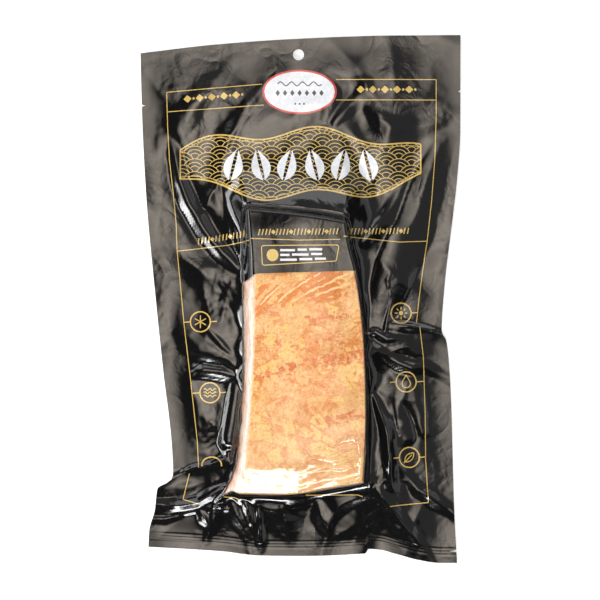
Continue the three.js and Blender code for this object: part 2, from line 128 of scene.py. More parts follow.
rim_top = curve([(-32, 47.6), (-8, 45.5), (17, 42), (34, 38)])
foot_top = curve([(-32, 53), (-8, 51), (20, 47.5), (34, 43.5)])


def window_top(x):
    """Where the clear window ends and the black print begins."""
    return 14.6 + 0.03 * x - 4.2 * smooth(-x, 23.5, 31.5)


print("pouch across at the middle:", round(float(right_edge(0) - left_edge(0)), 1), "mm")

# %% [markdown]
# ## The lie of the film
# A real fold is film that has nowhere to go, so it stands up in a ridge that starts at the fillet and dies
# out at the seal. Each large fold is a run of points. Its size at a point scales its height and some of its
# width, so it fades out. A ridge has a sharp crest, a roof even slopes, a tube a round back, a band a
# narrow back over even slopes, and a swell rises softly. The same rule shapes the solids of the CAD model,
# so the film follows them.

# %% Folds
FOLDS = [  # kind, height, half width to the left and to the right of the run, and the run: x, y and size
    ("swell", 1.3, 9, 10, [(-36, 132.5, 0.2), (-47, 120, 0.8), (-60, 104, 1), (-72, 90.5, 0.8),
     (-80, 80, 0.1)]),
    ("swell", 1.4, 8, 8, [(-19, 118.5, 0.3), (-29, 106, 0.9), (-36, 94, 1), (-39, 82, 0.7),
     (-38, 70, 0.1)]),
    ("band", 3.2, 5.5, 6, [(-72.5, 90, 0.2), (-69, 77.5, 0.6), (-66, 64.5, 0.8), (-60.5, 51.5, 1),
     (-52.5, 38, 1), (-43, 25.5, 0.95), (-34.5, 17, 0.8), (-28, 10.5, 0.4)]),
    ("tube", 2.9, 4.75, 4.75, [(-46.5, 64.5, 0.1), (-40.5, 51.5, 0.6), (-36, 39, 0.9), (-32, 26, 1),
     (-29.5, 14, 0.8)]),
    ("ridge", 2.3, 4, 5.5, [(-29.5, 50, 0.6), (-33.5, 42.5, 0.9), (-35, 32.5, 0.8), (-33.5, 20.5, 0.3)]),
    ("swell", 1.5, 8, 9, [(34, 106, 0.1), (42.5, 100, 0.6), (50.5, 94.5, 0.9), (65.5, 94.5, 0.8),
     (76.5, 98, 0.6), (84, 105, 0.1)]),
    ("ridge", 1.2, 3.5, 4, [(33, 107, 0.2), (40, 103, 0.8), (46, 98, 1), (51.5, 88, 0.2)]),
    ("swell", 1.8, 9, 7, [(36, 118.5, 0.2), (28.5, 107.5, 0.9), (18.5, 96.5, 0.8), (15, 84, 0.1)]),
    ("swell", 1.4, 8, 9, [(11, 124, 0.2), (17, 112, 0.9), (13, 98, 0.8), (4, 90, 0.1)]),
    ("tube", 2.5, 12, 12, [(80, 87.5, 0.1), (71, 65.5, 0.7), (63, 40.5, 0.9), (54, 20.5, 1),
     (45.5, 1.5, 0.8), (37.5, -15, 0.5)]),
    ("ridge", 2.7, 4.25, 3.25, [(59, 31, 0.1), (51.5, 20.5, 0.8), (47, 10, 1), (50, -0.5, 0.8),
     (46, -17, 0.6)]),
    ("swell", 2.2, 8, 7, [(56, 63.5, 0.1), (46, 44.5, 0.8), (34, 31.5, 0.9), (25.5, 20.5, 0.5)]),
    ("swell", 2.3, 6, 7, [(24.5, 40, 0.7), (28.5, 51, 0.9), (35, 62, 0.5), (41.5, 71, 0.1)]),
    ("swell", 1.2, 7.5, 9, [(-71, -17, 0.1), (-62, -23, 0.7), (-53, -29.5, 1), (-43, -35, 0.9),
     (-31.5, -38, 0.6)]),
    ("band", 2.55, 4, 5.8, [(-61.5, -42, 0.1), (-53.5, -39, 0.9), (-43, -40, 1), (-35.5, -42, 0.6),
     (-30.5, -42.5, 0.2)]),
    ("ridge", 1.4, 3.75, 3.75, [(-52.5, -15.5, 0.1), (-42.5, -26, 0.8), (-32.5, -34, 0.4)]),
    ("tube", 4.5, 6.5, 6.5, [(-34.5, -43.5, 0.3), (-36, -53.5, 0.6), (-37.5, -66.5, 0.85),
     (-39, -77.5, 1.1), (-39, -84, 0.5), (-39, -86.5, 0.1)]),
    ("ridge", 2.2, 1.75, 13.5, [(-79, -103, 0.7), (-69.5, -98, 0.9), (-59, -93, 1), (-50, -91, 1),
     (-41, -87.5, 1), (-33.5, -83, 0.5)]),
    ("roof", 3.1, 4.5, 7, [(-84.5, -112.5, 0.9), (-72.5, -114, 1), (-63.5, -113.5, 0.9),
     (-56.5, -112, 0.9), (-50, -108.5, 0.9), (-42, -103.5, 0.7), (-35.5, -99, 0.3)]),
    ("ridge", 1.8, 3, 4.5, [(-83, -121, 0.7), (-74.5, -121.5, 0.9), (-65, -119, 0.2)]),
    ("roof", 2.0, 3, 4.6, [(-57, -114, 0.3), (-53, -120.5, 1), (-49, -127, 0.3)]),
    ("ridge", 2.3, 2.5, 3, [(-52, -117.5, 0.2), (-46.5, -114, 1), (-37.5, -116.5, 0.3)]),
    ("roof", 0.85, 1.2, 2.2, [(-27, -112.0, 0.4), (-16, -110.8, 0.9), (-2, -109.6, 1), (10, -107.4, 0.8),
     (28, -103.8, 0.5)]),
    ("roof", 0.9, 1.4, 2.3, [(-20, -115.5, 0.4), (-10, -114.5, 1), (4, -113.2, 0.9), (18, -110.6, 0.7),
     (31, -107.5, 0.4)]),
    ("roof", 2.3, 3.6, 4.4, [(-31.8, -108.5, 0.6), (-29.7, -114.5, 1), (-26.7, -123.2, 1),
     (-24.7, -130.5, 0.4)]),
    ("roof", 2.3, 3.4, 4.2, [(-24.3, -112.5, 0.6), (-22.8, -120, 1), (-21.3, -133.5, 1.2),
     (-20.8, -138.5, 0.4)]),
    ("ridge", 2, 6, 6, [(-40, -107.5, 0.4), (-35.5, -119, 0.9), (-28, -131.5, 0.5), (-24.5, -137, 0.1)]),
    ("ridge", 1.8, 6, 4.5, [(-44.5, -110.5, 0.3), (-48.5, -121.5, 0.9), (-52, -132.5, 0.4)]),
    ("ridge", 1.6, 9, 9, [(47, -109.5, 0.5), (36, -118.5, 0.9), (25, -127, 0.8), (15, -133.5, 0.2)]),
    ("ridge", 1.3, 7.5, 8, [(47, -110.5, 0.5), (39.5, -121.5, 0.9), (30.5, -135.5, 0.3)]),
    ("ridge", 2.2, 7.5, 7.5, [(8.5, -107.5, 0.5), (10.5, -119, 0.9), (16, -131.5, 0.2)]),
    ("ridge", 2.2, 7.5, 7.5, [(-11.5, -110.5, 0.4), (-8, -122.5, 0.8), (-4.5, -135, 0.2)]),
    ("ridge", 1.9, 4.75, 8.5, [(35, -95, 0.3), (43.5, -105.5, 0.8), (54, -119.5, 1), (61.5, -130.5, 1),
     (68.5, -139.5, 0.7), (72.5, -144.5, 0.3)]),
    ("roof", 2.4, 4.5, 5.4, [(53.5, -89.5, 0.1), (64.5, -104, 0.8), (74, -110.5, 1), (86.5, -120, 0.9)]),
    ("ridge", 1.7, 6.75, 7, [(48, -112, 0.3), (54.5, -126, 0.9), (62.5, -138, 0.6)]),
    ("band", 2.5, 4.5, 5, [(34, -19, 0.7), (40.5, -17.5, 1), (47.5, -21.5, 0.9), (58, -21, 0.5),
     (67, -17, 0.2)]),
    ("ridge", 2.7, 2.5, 9, [(49, -13, 0.4), (58, -14, 0.9), (68, -16, 1), (79.5, -19, 0.9)]),
    ("band", 2.5, 4.5, 4.75, [(43.5, -29, 0.2), (53.5, -35, 0.9), (61.5, -38, 1), (68, -37, 0.8),
     (75.5, -40.5, 0.7), (83.5, -44.5, 0.5)]),
    ("ridge", 3.1, 5.5, 5.5, [(36, -43.5, 0.3), (41.5, -55.5, 0.8), (46.5, -72, 1), (49, -88.5, 1),
     (50, -102, 0.6)]),
    ("tube", 2.2, 5.25, 5.25, [(53, -56.5, 0.1), (57, -69.5, 0.9), (59, -76.5, 0.8), (53.5, -80, 0.2)]),
    ("swell", 1.8, 8, 8, [(61.5, -40, 0.1), (63.5, -55.5, 0.8), (68, -73, 0.3)]),
]


def fold_height(fold, x, y):
    """How high one fold stands at each place."""
    kind, height, left, right, run = fold
    best = np.zeros_like(x)
    for (ax, ay, size_a), (bx, by, size_b) in zip(run, run[1:]):
        length = math.hypot(bx - ax, by - ay)
        dx, dy = (bx - ax) / length, (by - ay) / length
        along = np.clip((x - ax) * dx + (y - ay) * dy, 0, length)
        off_x = x - ax - dx * along
        off_y = y - ay - dy * along
        size = lerp(size_a, size_b, along / length)
        reach = (0.4 + 0.6 * size) * np.where(dx * off_y - dy * off_x > 0, left, right)
        away = np.clip(np.hypot(off_x, off_y) / reach, 0, 1)
        shape = {"tube": (1 - away ** 2) ** 0.7, "swell": smooth(1 - away, 0, 1), "roof": 1 - away,
                 "ridge": 0.65 * (1 - away) ** 1.3 + 0.35 * smooth(1 - away, 0, 1),
                 "band": np.interp(away, (0, 0.2, 0.85, 1), (1, 0.95, 0.3, 0))}[kind]
        best = np.maximum(best, height * size * shape)
    return best


def all_folds(folds, x, y):
    highest = np.zeros_like(x)
    for fold in folds:
        highest = np.maximum(highest, fold_height(fold, x, y))
    return highest


# %% [markdown]
# Between the large folds lies the small relief of real film: broad creases, finer ones near the fillet,
# beads of trapped air along the seals, and the embossed lines that the sealing bar leaves. Creases come
# from noise that is folded over at zero, which gives sharp crests where plain noise would give soft hills.
# Blisters are drawn at random places from one seeded generator, so that every run gives the same pack.

# %% Small relief of the film
BLISTER_PATCHES = [  # centre, half size and how many
    ((-56, 90), (13, 11), 70), ((-70, 114), (8, 4), 26), ((-76, 40), (3, 60), 70), ((-40, 115), (12, 3), 20),
    ((79, 60), (3, 70), 60), ((40, 118), (40, 4), 50), ((76, -85), (4, 40), 36), ((0, -128), (60, 3), 50)]
CRINKLED = [((-49, -71), (11, 16)), ((-44, 1), (12, 14)), ((50, 60), (14, 22)), ((46, -100), (16, 14)),
            ((-38, -110), (14, 10))]  # centre and half size of the places with the finest creases
CALM_REACH = 2.2  # how much further than its own width a rounded fold keeps the film calm
SEAL_LINES = [4.6, 6.2, 7.8]  # distance of each embossed line from the bottom edge
LEFT_CURL = 2.6  # how high the left seal curls up off the table
RIGHT_SWELL = 1.4  # how high the film stands at the right, before it droops to the seal
TOP_CURL, BOTTOM_CURL = 1.0, 1.4
WAVE_LEFT, WAVE_RIGHT = 1.4, 1.7  # how far the pouch buckles
WEB_HEIGHT, WEB_REACH = 3.2, 3.6  # film that leans on the foot of the fillet
TENT_HEIGHT, TENT_REACH = 12.5, 18  # film that hangs from the fillet's upper end
HUB_Y = -30  # creases and pleats run out from this place in the middle of the fillet
PLEATS = 13  # pleats of the web, all the way round
MIDDLE_CREASES, RADIAL_CREASES, FINE_CREASES = 0.35, 0.9, 0.2  # height of each kind


def lift(x, y):
    """The left seal curls up off the table, the right one droops, and the ends curl a little."""
    left = LEFT_CURL * np.clip((-x - 45) / 43, 0, 1) ** 2 * (1 - 0.7 * smooth(y, 60, 110))
    right = RIGHT_SWELL * smooth(x, 28, 44) * (1 - smooth(x, 44, 68))
    sides = (left + right) * (1 + 0.3 * np.sin(y / 27))
    return sides + TOP_CURL * smooth(y, 78, 146) + BOTTOM_CURL * smooth(-y, 116, 146)


def edge_distance(x, y):
    ends = np.minimum(y - bottom_edge(x), top_edge(x) - y)
    return np.minimum(np.minimum(x - left_edge(y), right_edge(y) - x), ends)


def fillet_distance(x, y):
    out_x = np.maximum(np.maximum(foot_left(y) - x, x - foot_right(y)), 0)
    out_y = np.maximum(np.maximum(foot_bottom(x) - y, y - foot_top(x)), 0)
    return np.hypot(out_x, out_y)


def blisters(x, y):
    draw = random.Random(11)
    height = np.zeros_like(x)
    for (cx, cy), (half_x, half_y), count in BLISTER_PATCHES:
        for _ in range(count):
            px = cx + half_x * draw.uniform(-1, 1)
            py = cy + half_y * draw.uniform(-1, 1)
            radius = draw.uniform(0.9, 2.4)
            near = np.clip(1 - ((x - px) ** 2 + (y - py) ** 2) / radius ** 2, 0, 1)
            height = np.maximum(height, draw.uniform(0.04, 0.13) * near)
    return height


def crinkle_share(x, y):
    share = np.zeros_like(x)
    for (cx, cy), (half_x, half_y) in CRINKLED:
        share = np.maximum(share, np.exp(-((x - cx) / half_x) ** 2 - ((y - cy) / half_y) ** 2))
    return share


def turn_about_hub(x, y):
    return np.arctan2(y - HUB_Y, x)


def radial_crests(x, y, away):
    """Creases that run out from the fillet like the folds of a curtain."""
    reach = np.hypot(x, (y - HUB_Y) * 0.6)
    crests = crest(ripple(turn_about_hub(x, y) * 2.6, reach / 40, 1, 21.3), 2.0)
    return crests * np.exp(-away / 30) * smooth(away, 1, 9)


def calm(x, y, kinds=("tube", "band")):
    """A share from 0 to 1 near the rounded folds, which keep the film round them taut."""
    return all_folds([("swell", 1, CALM_REACH * left, CALM_REACH * right, run)
                      for kind, _, left, right, run in FOLDS if kind in kinds], x, y)


def wave(x, y):
    """The whole pouch buckles in broad facets that meet in crests, less in the seals and at the top."""
    slant = np.sin(x / 12 + 1.5 * np.sin(y / 26 + 1) + y / 60)
    level = np.sin(y / 14 - x / 40 + 1.3 * np.sin(x / 19 - y / 70) + 1.1 * np.sin(x / 9 + y / 33))
    height = 1 - 1.5 * np.abs(0.55 * slant + 0.55 * level)
    share = (0.3 + 0.7 * smooth(edge_distance(x, y), 4, 34)) * (1 - 0.75 * np.minimum(calm(x, y), 1))
    most = lerp(WAVE_LEFT, WAVE_RIGHT, smooth(x, -30, 30))
    return most * (height + 0.65) * share * (1 - 0.3 * smooth(y, 60, 120))


def film_top(x, y):
    """Upper face of the films round the fillet, before the fillet lifts them."""
    edge = edge_distance(x, y)
    inside = smooth(edge + 5 * ripple(x, y, 22, 31.5), 2, 20)
    away = fillet_distance(x, y)
    wander_x = x + 4 * ripple(x, y, 34, 3.1) + 1.2 * ripple(x, y, 9, 2.3)
    wander_y = y + 4 * ripple(x, y, 34, 8.4) + 1.2 * ripple(x, y, 9, 6.7)
    folds = all_folds(FOLDS, lerp(x, wander_x, 0.3), lerp(y, wander_y, 0.3))
    pleats = 1 + lerp(0.05, 0.3, smooth(y, -112, -98)) * np.sin(turn_about_hub(x, y) * PLEATS)
    above = smooth(y - foot_top(x), -20, 6)
    above *= smooth(x - foot_left(y), -16, 4) * smooth(foot_right(y) - x, -16, 4)
    web = WEB_HEIGHT * pleats * np.exp(-away / WEB_REACH)
    leaning = lerp(web, TENT_HEIGHT * np.exp(-away / TENT_REACH), above)
    creases = MIDDLE_CREASES * crest(ripple(wander_x, wander_y, 17, 5.2), 1.8)
    creases += RADIAL_CREASES * radial_crests(x, y, away)
    creases += FINE_CREASES * crest(ripple(wander_x, wander_y, 4.2, 9.6), 2.6) * crinkle_share(x, y)
    creases *= inside * (1 - 0.8 * smooth(folds, 0.3, 1.5)) * (1 - 0.4 * np.minimum(calm(x, y), 1))
    body = np.maximum(folds * (0.45 + 0.55 * inside), leaning) + creases
    seal = sum(np.exp(-((y - bottom_edge(x) - at) / 0.45) ** 2) for at in SEAL_LINES)
    flat = lerp(PRESSED, FILM, smooth(edge, 3, 20)) + wave(wander_x, wander_y)
    return lift(x, y) + flat + np.maximum(body, 0) + blisters(x, y) - 0.16 * seal


# %% [markdown]
# ## One grid for the front film
# The front film is one sheet, so it starts as one primitive grid. Its vertices are moved so that its border
# is the pouch's outline, and so that narrow bands of faces lie along the foot and the rim of the fillet,
# where the film turns steeply down. That keeps the walls smooth without making the flat film heavy. A band
# boundary also runs along each side of the window, so the window can be cut out along clean lines of edges.

# %% Guide lines of the grid
def moved(line, by):
    return lambda v: line(v) + by


BANDS_ACROSS = [  # low line, high line, cells, and how far the fillet has risen at each
    (left_edge, moved(foot_left, -DRAWN), 54, 0, 0),
    (moved(foot_left, -DRAWN), moved(rim_left, -DRAWN), 9, 0, 1),
    (moved(rim_left, -DRAWN), moved(rim_right, DRAWN), 58, 1, 1),
    (moved(rim_right, DRAWN), moved(foot_right, DRAWN), 9, 1, 0),
    (moved(foot_right, DRAWN), right_edge, 50, 0, 0)]
BANDS_ALONG = [
    (bottom_edge, moved(bottom_edge, 11), 20, 0, 0),
    (moved(bottom_edge, 11), moved(foot_bottom, -DRAWN), 30, 0, 0),
    (moved(foot_bottom, -DRAWN), moved(rim_bottom, -DRAWN), 9, 0, 1),
    (moved(rim_bottom, -DRAWN), window_top, 116, 1, 1),
    (window_top, moved(rim_top, DRAWN), 28, 1, 1),
    (moved(rim_top, DRAWN), moved(foot_top, DRAWN), 10, 1, 0),
    (moved(foot_top, DRAWN), top_edge, 80, 0, 0)]
PASSES = 14
WINDOW_LEFT = (1, 0)  # band and cell where the window starts and ends, across and along
WINDOW_RIGHT = (3, 1)
WINDOW_LOW = (2, 3)
WINDOW_HIGH = (4, 0)


def guides(bands):
    """Every line of one direction, as a function of the other coordinate, and how far the fillet lifts it."""
    lines = []
    rises = []
    for number, (low, high, count, low_rise, high_rise) in enumerate(bands):
        for k in range(count + (number == len(bands) - 1)):
            lines.append(lambda v, low=low, high=high, t=k / count: lerp(low(v), high(v), t))
            rises.append(lerp(low_rise, high_rise, k / count))
    return lines, np.sin(np.array(rises) * math.pi / 2) ** 0.8


def line_number(bands, place):
    band, cell = place
    return sum(cells for _, _, cells, _, _ in bands[:band]) + cell


def grid_points(bands_across, bands_along):
    """Crossings of all the lines, with one row for each line along, and the lift at each crossing.

    A line across and a line along are followed in turn, and each pass comes closer to where they meet.
    """
    across, rise_across = guides(bands_across)
    along, rise_along = guides(bands_along)
    x = np.zeros((len(along), len(across)))
    y = np.zeros_like(x)
    for _ in range(PASSES):
        x = np.stack([line(y[:, i]) for i, line in enumerate(across)], axis=1)
        y = np.stack([line(x[j, :]) for j, line in enumerate(along)], axis=0)
    return x, y, np.outer(rise_along, rise_across)


# %% Upper face of the fillet
CROWN = 1.1  # how much thicker the fillet is along its middle
RIGHT_RISE = 0.9  # how much thicker it is at the right rim than at the left one
UPPER_FALL = 0.9  # how much thinner its upper end is
SLANT_START = -91  # where the lower end starts to slant down
SLANT_LEFT, SLANT_RIGHT = 0.36, 0.27  # how steeply it slants


def flakes(x, y):
    return 0.3 * np.sin((y - 0.35 * x) / 5.2) + 0.2 * np.sin((x + 0.2 * y) / 6.1)


def fillet_top(x, y):
    """Upper face of the fillet inside its rim: a low crown, a slanted lower end, and soft flakes."""
    across = np.clip((x - rim_left(y)) / (rim_right(y) - rim_left(y)), 0, 1)
    crown = CROWN * np.sin(np.pi * across) + RIGHT_RISE * across
    past = SLANT_START - y + 2 * smooth(x, -6, 6)  # how far past the start of the slant
    slant = 0.5 * (past + np.sqrt(past * past + 1)) * lerp(SLANT_LEFT, SLANT_RIGHT, smooth(x, -7, 8))
    ends = slant + UPPER_FALL * smooth(y, 36, 52)
    return FILLET_THICK + crown - ends + flakes(x, y)


# %% Deselect, add and finish helpers
def deselect():
    for thing in bpy.context.selected_objects:
        thing.select_set(False)


def pick(thing):
    deselect()
    bpy.context.view_layer.objects.active = thing
    thing.select_set(True)
    return thing


@contextmanager
def edit_mode(thing):
    """Edit mode on this piece alone, and back to object mode when the block ends."""
    pick(thing)
    bpy.ops.object.mode_set(mode="EDIT")
    yield
    bpy.ops.object.mode_set(mode="OBJECT")


def face_outwards():
    """In edit mode: turns every face so that its normal points out of the piece."""
    bpy.ops.mesh.select_all(action="SELECT")
    bpy.ops.mesh.normals_make_consistent(inside=False)


def new_grid(name, columns, rows):
    """A primitive grid with that many faces each way, whose vertices run along the rows."""
    deselect()
    bpy.ops.mesh.primitive_grid_add(x_subdivisions=columns, y_subdivisions=rows, size=1)
    thing = bpy.context.object
    thing.name = thing.data.name = name
    return thing


def set_points(thing, x, y, z):
    points = np.stack([x.ravel(), y.ravel(), z.ravel()], axis=1) * MM
    thing.data.vertices.foreach_set("co", points.ravel())
    thing.data.update()


def set_attribute(thing, name, values):
    """One number for each vertex, for a material to read."""
    layer = thing.data.attributes.new(name, "FLOAT", "POINT")
    layer.data.foreach_set("value", values.ravel())


def select_faces(thing, chosen):
    """Selects just these faces of the piece, for the next operator in edit mode."""
    with edit_mode(thing):
        bpy.context.tool_settings.mesh_select_mode = (False, False, True)
        bpy.ops.mesh.select_all(action="DESELECT")
    thing.data.polygons.foreach_set("select", chosen)


def apply_all(thing):
    pick(thing)
    for modifier in list(thing.modifiers):
        bpy.ops.object.modifier_apply(modifier=modifier.name)


def settle(thing):
    """Puts the piece's place, turn and scale into its mesh, and leaves the piece itself at the origin."""
    pick(thing)
    bpy.ops.object.transform_apply(location=True, rotation=True, scale=True)


def thicken(thing, wall):
    solidify = thing.modifiers.new("thickness", "SOLIDIFY")
    solidify.thickness = wall * MM
    solidify.offset = -1
    apply_all(thing)


def soften(thing, degrees):
    pick(thing)
    bpy.ops.object.shade_smooth_by_angle(angle=math.radians(degrees))


def join(things, name):
    """Makes one piece of several, and of no more than one too."""
    deselect()
    for thing in things:
        thing.select_set(True)
    bpy.context.view_layer.objects.active = things[0]
    bpy.ops.object.join()
    whole = bpy.context.object
    whole.name = whole.data.name = name
    return whole


def triangles(thing):
    return sum(len(face.vertices) - 2 for face in thing.data.polygons)


def finish_piece(thing, material, slot, nodes=()):
    thing.data.materials.clear()
    thing.data.materials.append(material)
    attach(thing, "root")
    if nodes:
        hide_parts(*nodes)
    print(thing.name, "has", triangles(thing), "triangles")


# %% Shape the front film
JOIN_BESIDE, JOIN_ABOVE = 1.2, 5  # how softly the loose film meets the drawn one, beside and above the fillet
ON_TOP = 0.97  # from this share of the fillet's rise on, the film follows the fish alone


def soft_maximum(a, b, join):
    """The higher of two heights, with the corner between them rounded over about one join."""
    return np.maximum(a, b) + join / 4 * np.clip(1 - np.abs(a - b) / join, 0, 1) ** 2


x, y, lifted = grid_points(BANDS_ACROSS, BANDS_ALONG)
taut_folds = calm(x, y, ("band",))
drawn = FILLET_BASE + lifted * fillet_top(x, y) + DRAWN * np.minimum(lifted * 4, 1)
join_width = lerp(JOIN_BESIDE, JOIN_ABOVE, smooth(y, 10, 40) * (1 - np.clip(taut_folds * 1.4, 0, 1)))
film_z = np.where(lifted > ON_TOP, drawn, soft_maximum(drawn, film_top(x, y), join_width))
front_film = new_grid("front_film", x.shape[1] - 1, x.shape[0] - 1)
set_points(front_film, x, y, film_z)
set_attribute(front_film, "taut", np.minimum(taut_folds, 1))
print("front film:", len(front_film.data.polygons), "faces, top at", round(film_z.max(), 2), "mm")

# %% [markdown]
# ## Materials
# Every finish is worked out from nodes on object coordinates, so that it needs no picture and stays put on
# the piece. A finish is built from the same few steps: noise, a range spread over another, a sum or a
# product, and one colour laid over another. Each step is a method that adds its nodes and gives back the
# output they end in, so that a recipe reads as a few lines.

# %% Steps of a finish
class Finish:
    """The nodes of one material or lamp."""

    def __init__(self, owner):
        owner.use_nodes = True
        self.owner = owner
        self.nodes = owner.node_tree.nodes
        self.links = owner.node_tree.links
        self.shader = next(node for node in self.nodes if node.type in ("BSDF_PRINCIPLED", "EMISSION"))

    def feed(self, node, inputs):
        """Puts a number, a colour or another node's output on each of these inputs."""
        for key, value in inputs.items():
            if isinstance(value, bpy.types.NodeSocket):
                self.links.new(value, node.inputs[key])
            else:
                node.inputs[key].default_value = value

    def add(self, kind, inputs, **options):
        node = self.nodes.new("ShaderNode" + kind)
        for name, value in options.items():
            setattr(node, name, value)
        self.feed(node, inputs)
        return node

    def place(self):
        return self.add("TexCoord", {}).outputs["Object"]

    def noise(self, scale, detail=3.0, distortion=0.0, stretch=(1, 1, 1), rough=0.5):
        place = self.add("Mapping", {"Vector": self.place(), "Scale": stretch}).outputs["Vector"]
        return self.add("TexNoise", {"Vector": place, "Scale": scale, "Detail": detail,
                                     "Distortion": distortion, "Roughness": rough}).outputs["Fac"]

    def spread(self, value, low, high, to_low=0.0, to_high=1.0):
        """Stretches the values from low to high over a new range, and holds them at its ends."""
        return self.add("MapRange", {"Value": value, "From Min": low, "From Max": high, "To Min": to_low,
                                     "To Max": to_high}, interpolation_type="SMOOTHSTEP").outputs["Result"]

    def calculate(self, first, operation, second=0.0):
        return self.add("Math", {0: first, 1: second}, operation=operation).outputs["Value"]

    def mix(self, share, under, over, blend="MIX"):
        """Lays one colour over another."""
        return self.add("Mix", {"Factor": share, "A": under, "B": over}, data_type="RGBA",
                        blend_type=blend).outputs["Result"]

    def folded(self, value):
        """Noise folded over at its middle: zero along a net of sharp creases, and rising away from them."""
        return self.calculate(self.calculate(value, "SUBTRACT", 0.5), "ABSOLUTE")

    def bump(self, height, strength, distance):
        return self.add("Bump", {"Height": height, "Strength": strength,
                                 "Distance": distance}).outputs["Normal"]

    def attribute(self, name):
        return self.add("Attribute", {}, attribute_name=name).outputs["Fac"]

    def done(self):
        print(self.owner.name, "is made of", len(self.nodes), "nodes")
        return self.owner


def new_finish(name):
    return Finish(bpy.data.materials.new(name))


def srgb(red, green, blue):
    """A colour as a paint chart gives it, 0 to 255, made linear for the shader."""
    def linear(value):
        share = value / 255
        return share / 12.92 if share <= 0.04045 else ((share + 0.055) / 1.055) ** 2.4
    return (linear(red), linear(green), linear(blue), 1)


# %% [markdown]
# The black film owes its looks to the light: it is nearly black, and all that shows is what it mirrors. So
# it is glossy, with a faint grain in its roughness and a bump of fine creases. The bump fades out on the
# rounded folds, where the film is pulled taut and mirrors the lamps in clean lines. The film carries an
# attribute for that, worked out for each vertex by the same rule as the folds.

# %% Black film
NEARLY_BLACK = (0.004, 0.0038, 0.004, 1)
FILM_IOR = 1.75


def black_film_finish():
    film = new_finish("black_film")
    grain = film.spread(film.noise(900, 2.0), 0.3, 0.7, 0.09, 0.15)
    broad = film.folded(film.noise(55, 1.0, 0.8))
    fine = film.calculate(film.folded(film.noise(170, 1.0, 0.9)), "MULTIPLY", 0.22)
    creased = film.spread(film.noise(28, 2.0), 0.4, 0.6, 0.15, 1.0)
    slack = film.spread(film.attribute("taut"), 0.3, 0.8, 1, 0.1)
    creases = film.calculate(film.calculate(broad, "ADD", fine), "MULTIPLY", creased)
    creases = film.calculate(creases, "MULTIPLY", slack)
    film.feed(film.shader, {"Base Color": NEARLY_BLACK, "IOR": FILM_IOR, "Roughness": grain,
                            "Normal": film.bump(creases, 1.0, 0.00055)})
    return film.done()


black_film = black_film_finish()

# %% [markdown]
# ## The flesh
# Hot-smoked salmon has a dry golden skin over orange flesh. Pale golden plates lie between orange veins,
# fat lines slant across the thick end, and seams run across where the flakes part. The stripes, the seams,
# the flank and a paler lower end are attributes of the vertices. The flank is pale flesh, painted paler
# still to stand in for light and glare on its steep side, and the paler lower end is painted glare, the
# veil that the film mirrors there. The plates are the cells of a Voronoi texture whose place is bent by
# noise, the mottling is noise of several sizes, and noise folded over at its middle gives the thin pale
# veins. All of them are layers of colour, laid one over another from the lowest up.

# %% Colours of the fish
GOLDEN = srgb(246, 190, 120)
TAN = srgb(236, 158, 86)
PALE = srgb(254, 218, 158)
YELLOW = srgb(252, 204, 116)
ORANGE = srgb(230, 134, 54)
DEEP = srgb(224, 116, 38)
STRIPE = srgb(232, 134, 48)
# painted glare: the pale veil that the film mirrors over the fillet's lower end
PAINTED_GLARE = srgb(255, 222, 182)
# the flank's own pale flesh, painted paler still to stand in for light and glare on the steep side
FLANK_AND_PAINTED_LIGHT = srgb(255, 236, 220)
STREAK = srgb(244, 200, 176)


# %% Layers of the fish
def torn(fish, name, size, low, high):
    """An attribute whose edge is torn by noise, so that it shows as ragged patches."""
    value = fish.attribute(name)
    uneven = fish.spread(fish.noise(size, 4.0, 0.5), 0.25, 0.75, -0.45, 0.45)
    whole = fish.spread(fish.calculate(value, "ADD", uneven), low, high)
    return fish.calculate(whole, "MULTIPLY", fish.spread(value, 0.0, 0.2))


def cells(fish, size, warp):
    """Uneven cells, like plates of dried flesh: a random value for each, and the distance to its border."""
    bent = fish.add("TexNoise", {"Vector": fish.place(), "Scale": size * 0.9, "Detail": 4}).outputs["Color"]
    place = fish.add("VectorMath", {0: bent, 1: (warp, warp, warp), 2: fish.place()},
                     operation="MULTIPLY_ADD").outputs["Vector"]
    cell = {"Vector": place, "Scale": size}
    return (fish.add("TexVoronoi", cell, feature="F1").outputs["Color"],
            fish.add("TexVoronoi", cell, feature="DISTANCE_TO_EDGE").outputs["Distance"])


def mottling(fish):
    any_value, border = cells(fish, 130, 0.010)
    plates = fish.calculate(fish.spread(any_value, 0.5, 0.62), "MULTIPLY", fish.spread(border, 0.02, 0.09))
    outlines = fish.calculate(fish.spread(border, 0.04, 0.10, 0.7, 0), "MULTIPLY",
                              fish.spread(fish.noise(50, 2.0), 0.45, 0.57))
    clots = fish.spread(fish.noise(130, 5.0, 0.7, (0.85, 1.2, 1), 0.62), 0.545, 0.6, 0, 0.8)
    grains = fish.spread(fish.noise(700, 3.0, 0.6, rough=0.7), 0.53, 0.63, 0, 0.75)
    flecks = fish.spread(fish.noise(600, 4.0, 0.8, rough=0.7), 0.56, 0.64, 0, 0.8)
    veins = fish.spread(fish.folded(fish.noise(120, 3.0, 1.4)), 0, 0.018, 0.6, 0)
    seams = torn(fish, "seam", 300, 0.74, 0.82)
    return [(plates, YELLOW), (outlines, ORANGE), (clots, ORANGE), (seams, DEEP), (grains, ORANGE),
            (flecks, PALE), (veins, PALE)]


def stripes_and_flank(fish):
    streaks = fish.spread(fish.noise(420, 4.0, 0.5, (1, 0.2, 1)), 0.46, 0.58, 0, 0.9)
    # partly painted light: the flank is pale flesh, made whiter still as if well lit on its steep side
    flank = fish.mix(fish.attribute("edge"), fish.mix(streaks, FLANK_AND_PAINTED_LIGHT, STREAK), ORANGE)
    return [(torn(fish, "stripe", 420, 0.38, 0.46), STRIPE), (torn(fish, "fat", 300, 0.35, 0.6), PALE),
            # the lower end is painted paler, as glare that the film mirrors there
            (fish.attribute("painted_glare"), PAINTED_GLARE), (fish.attribute("flank"), flank)]


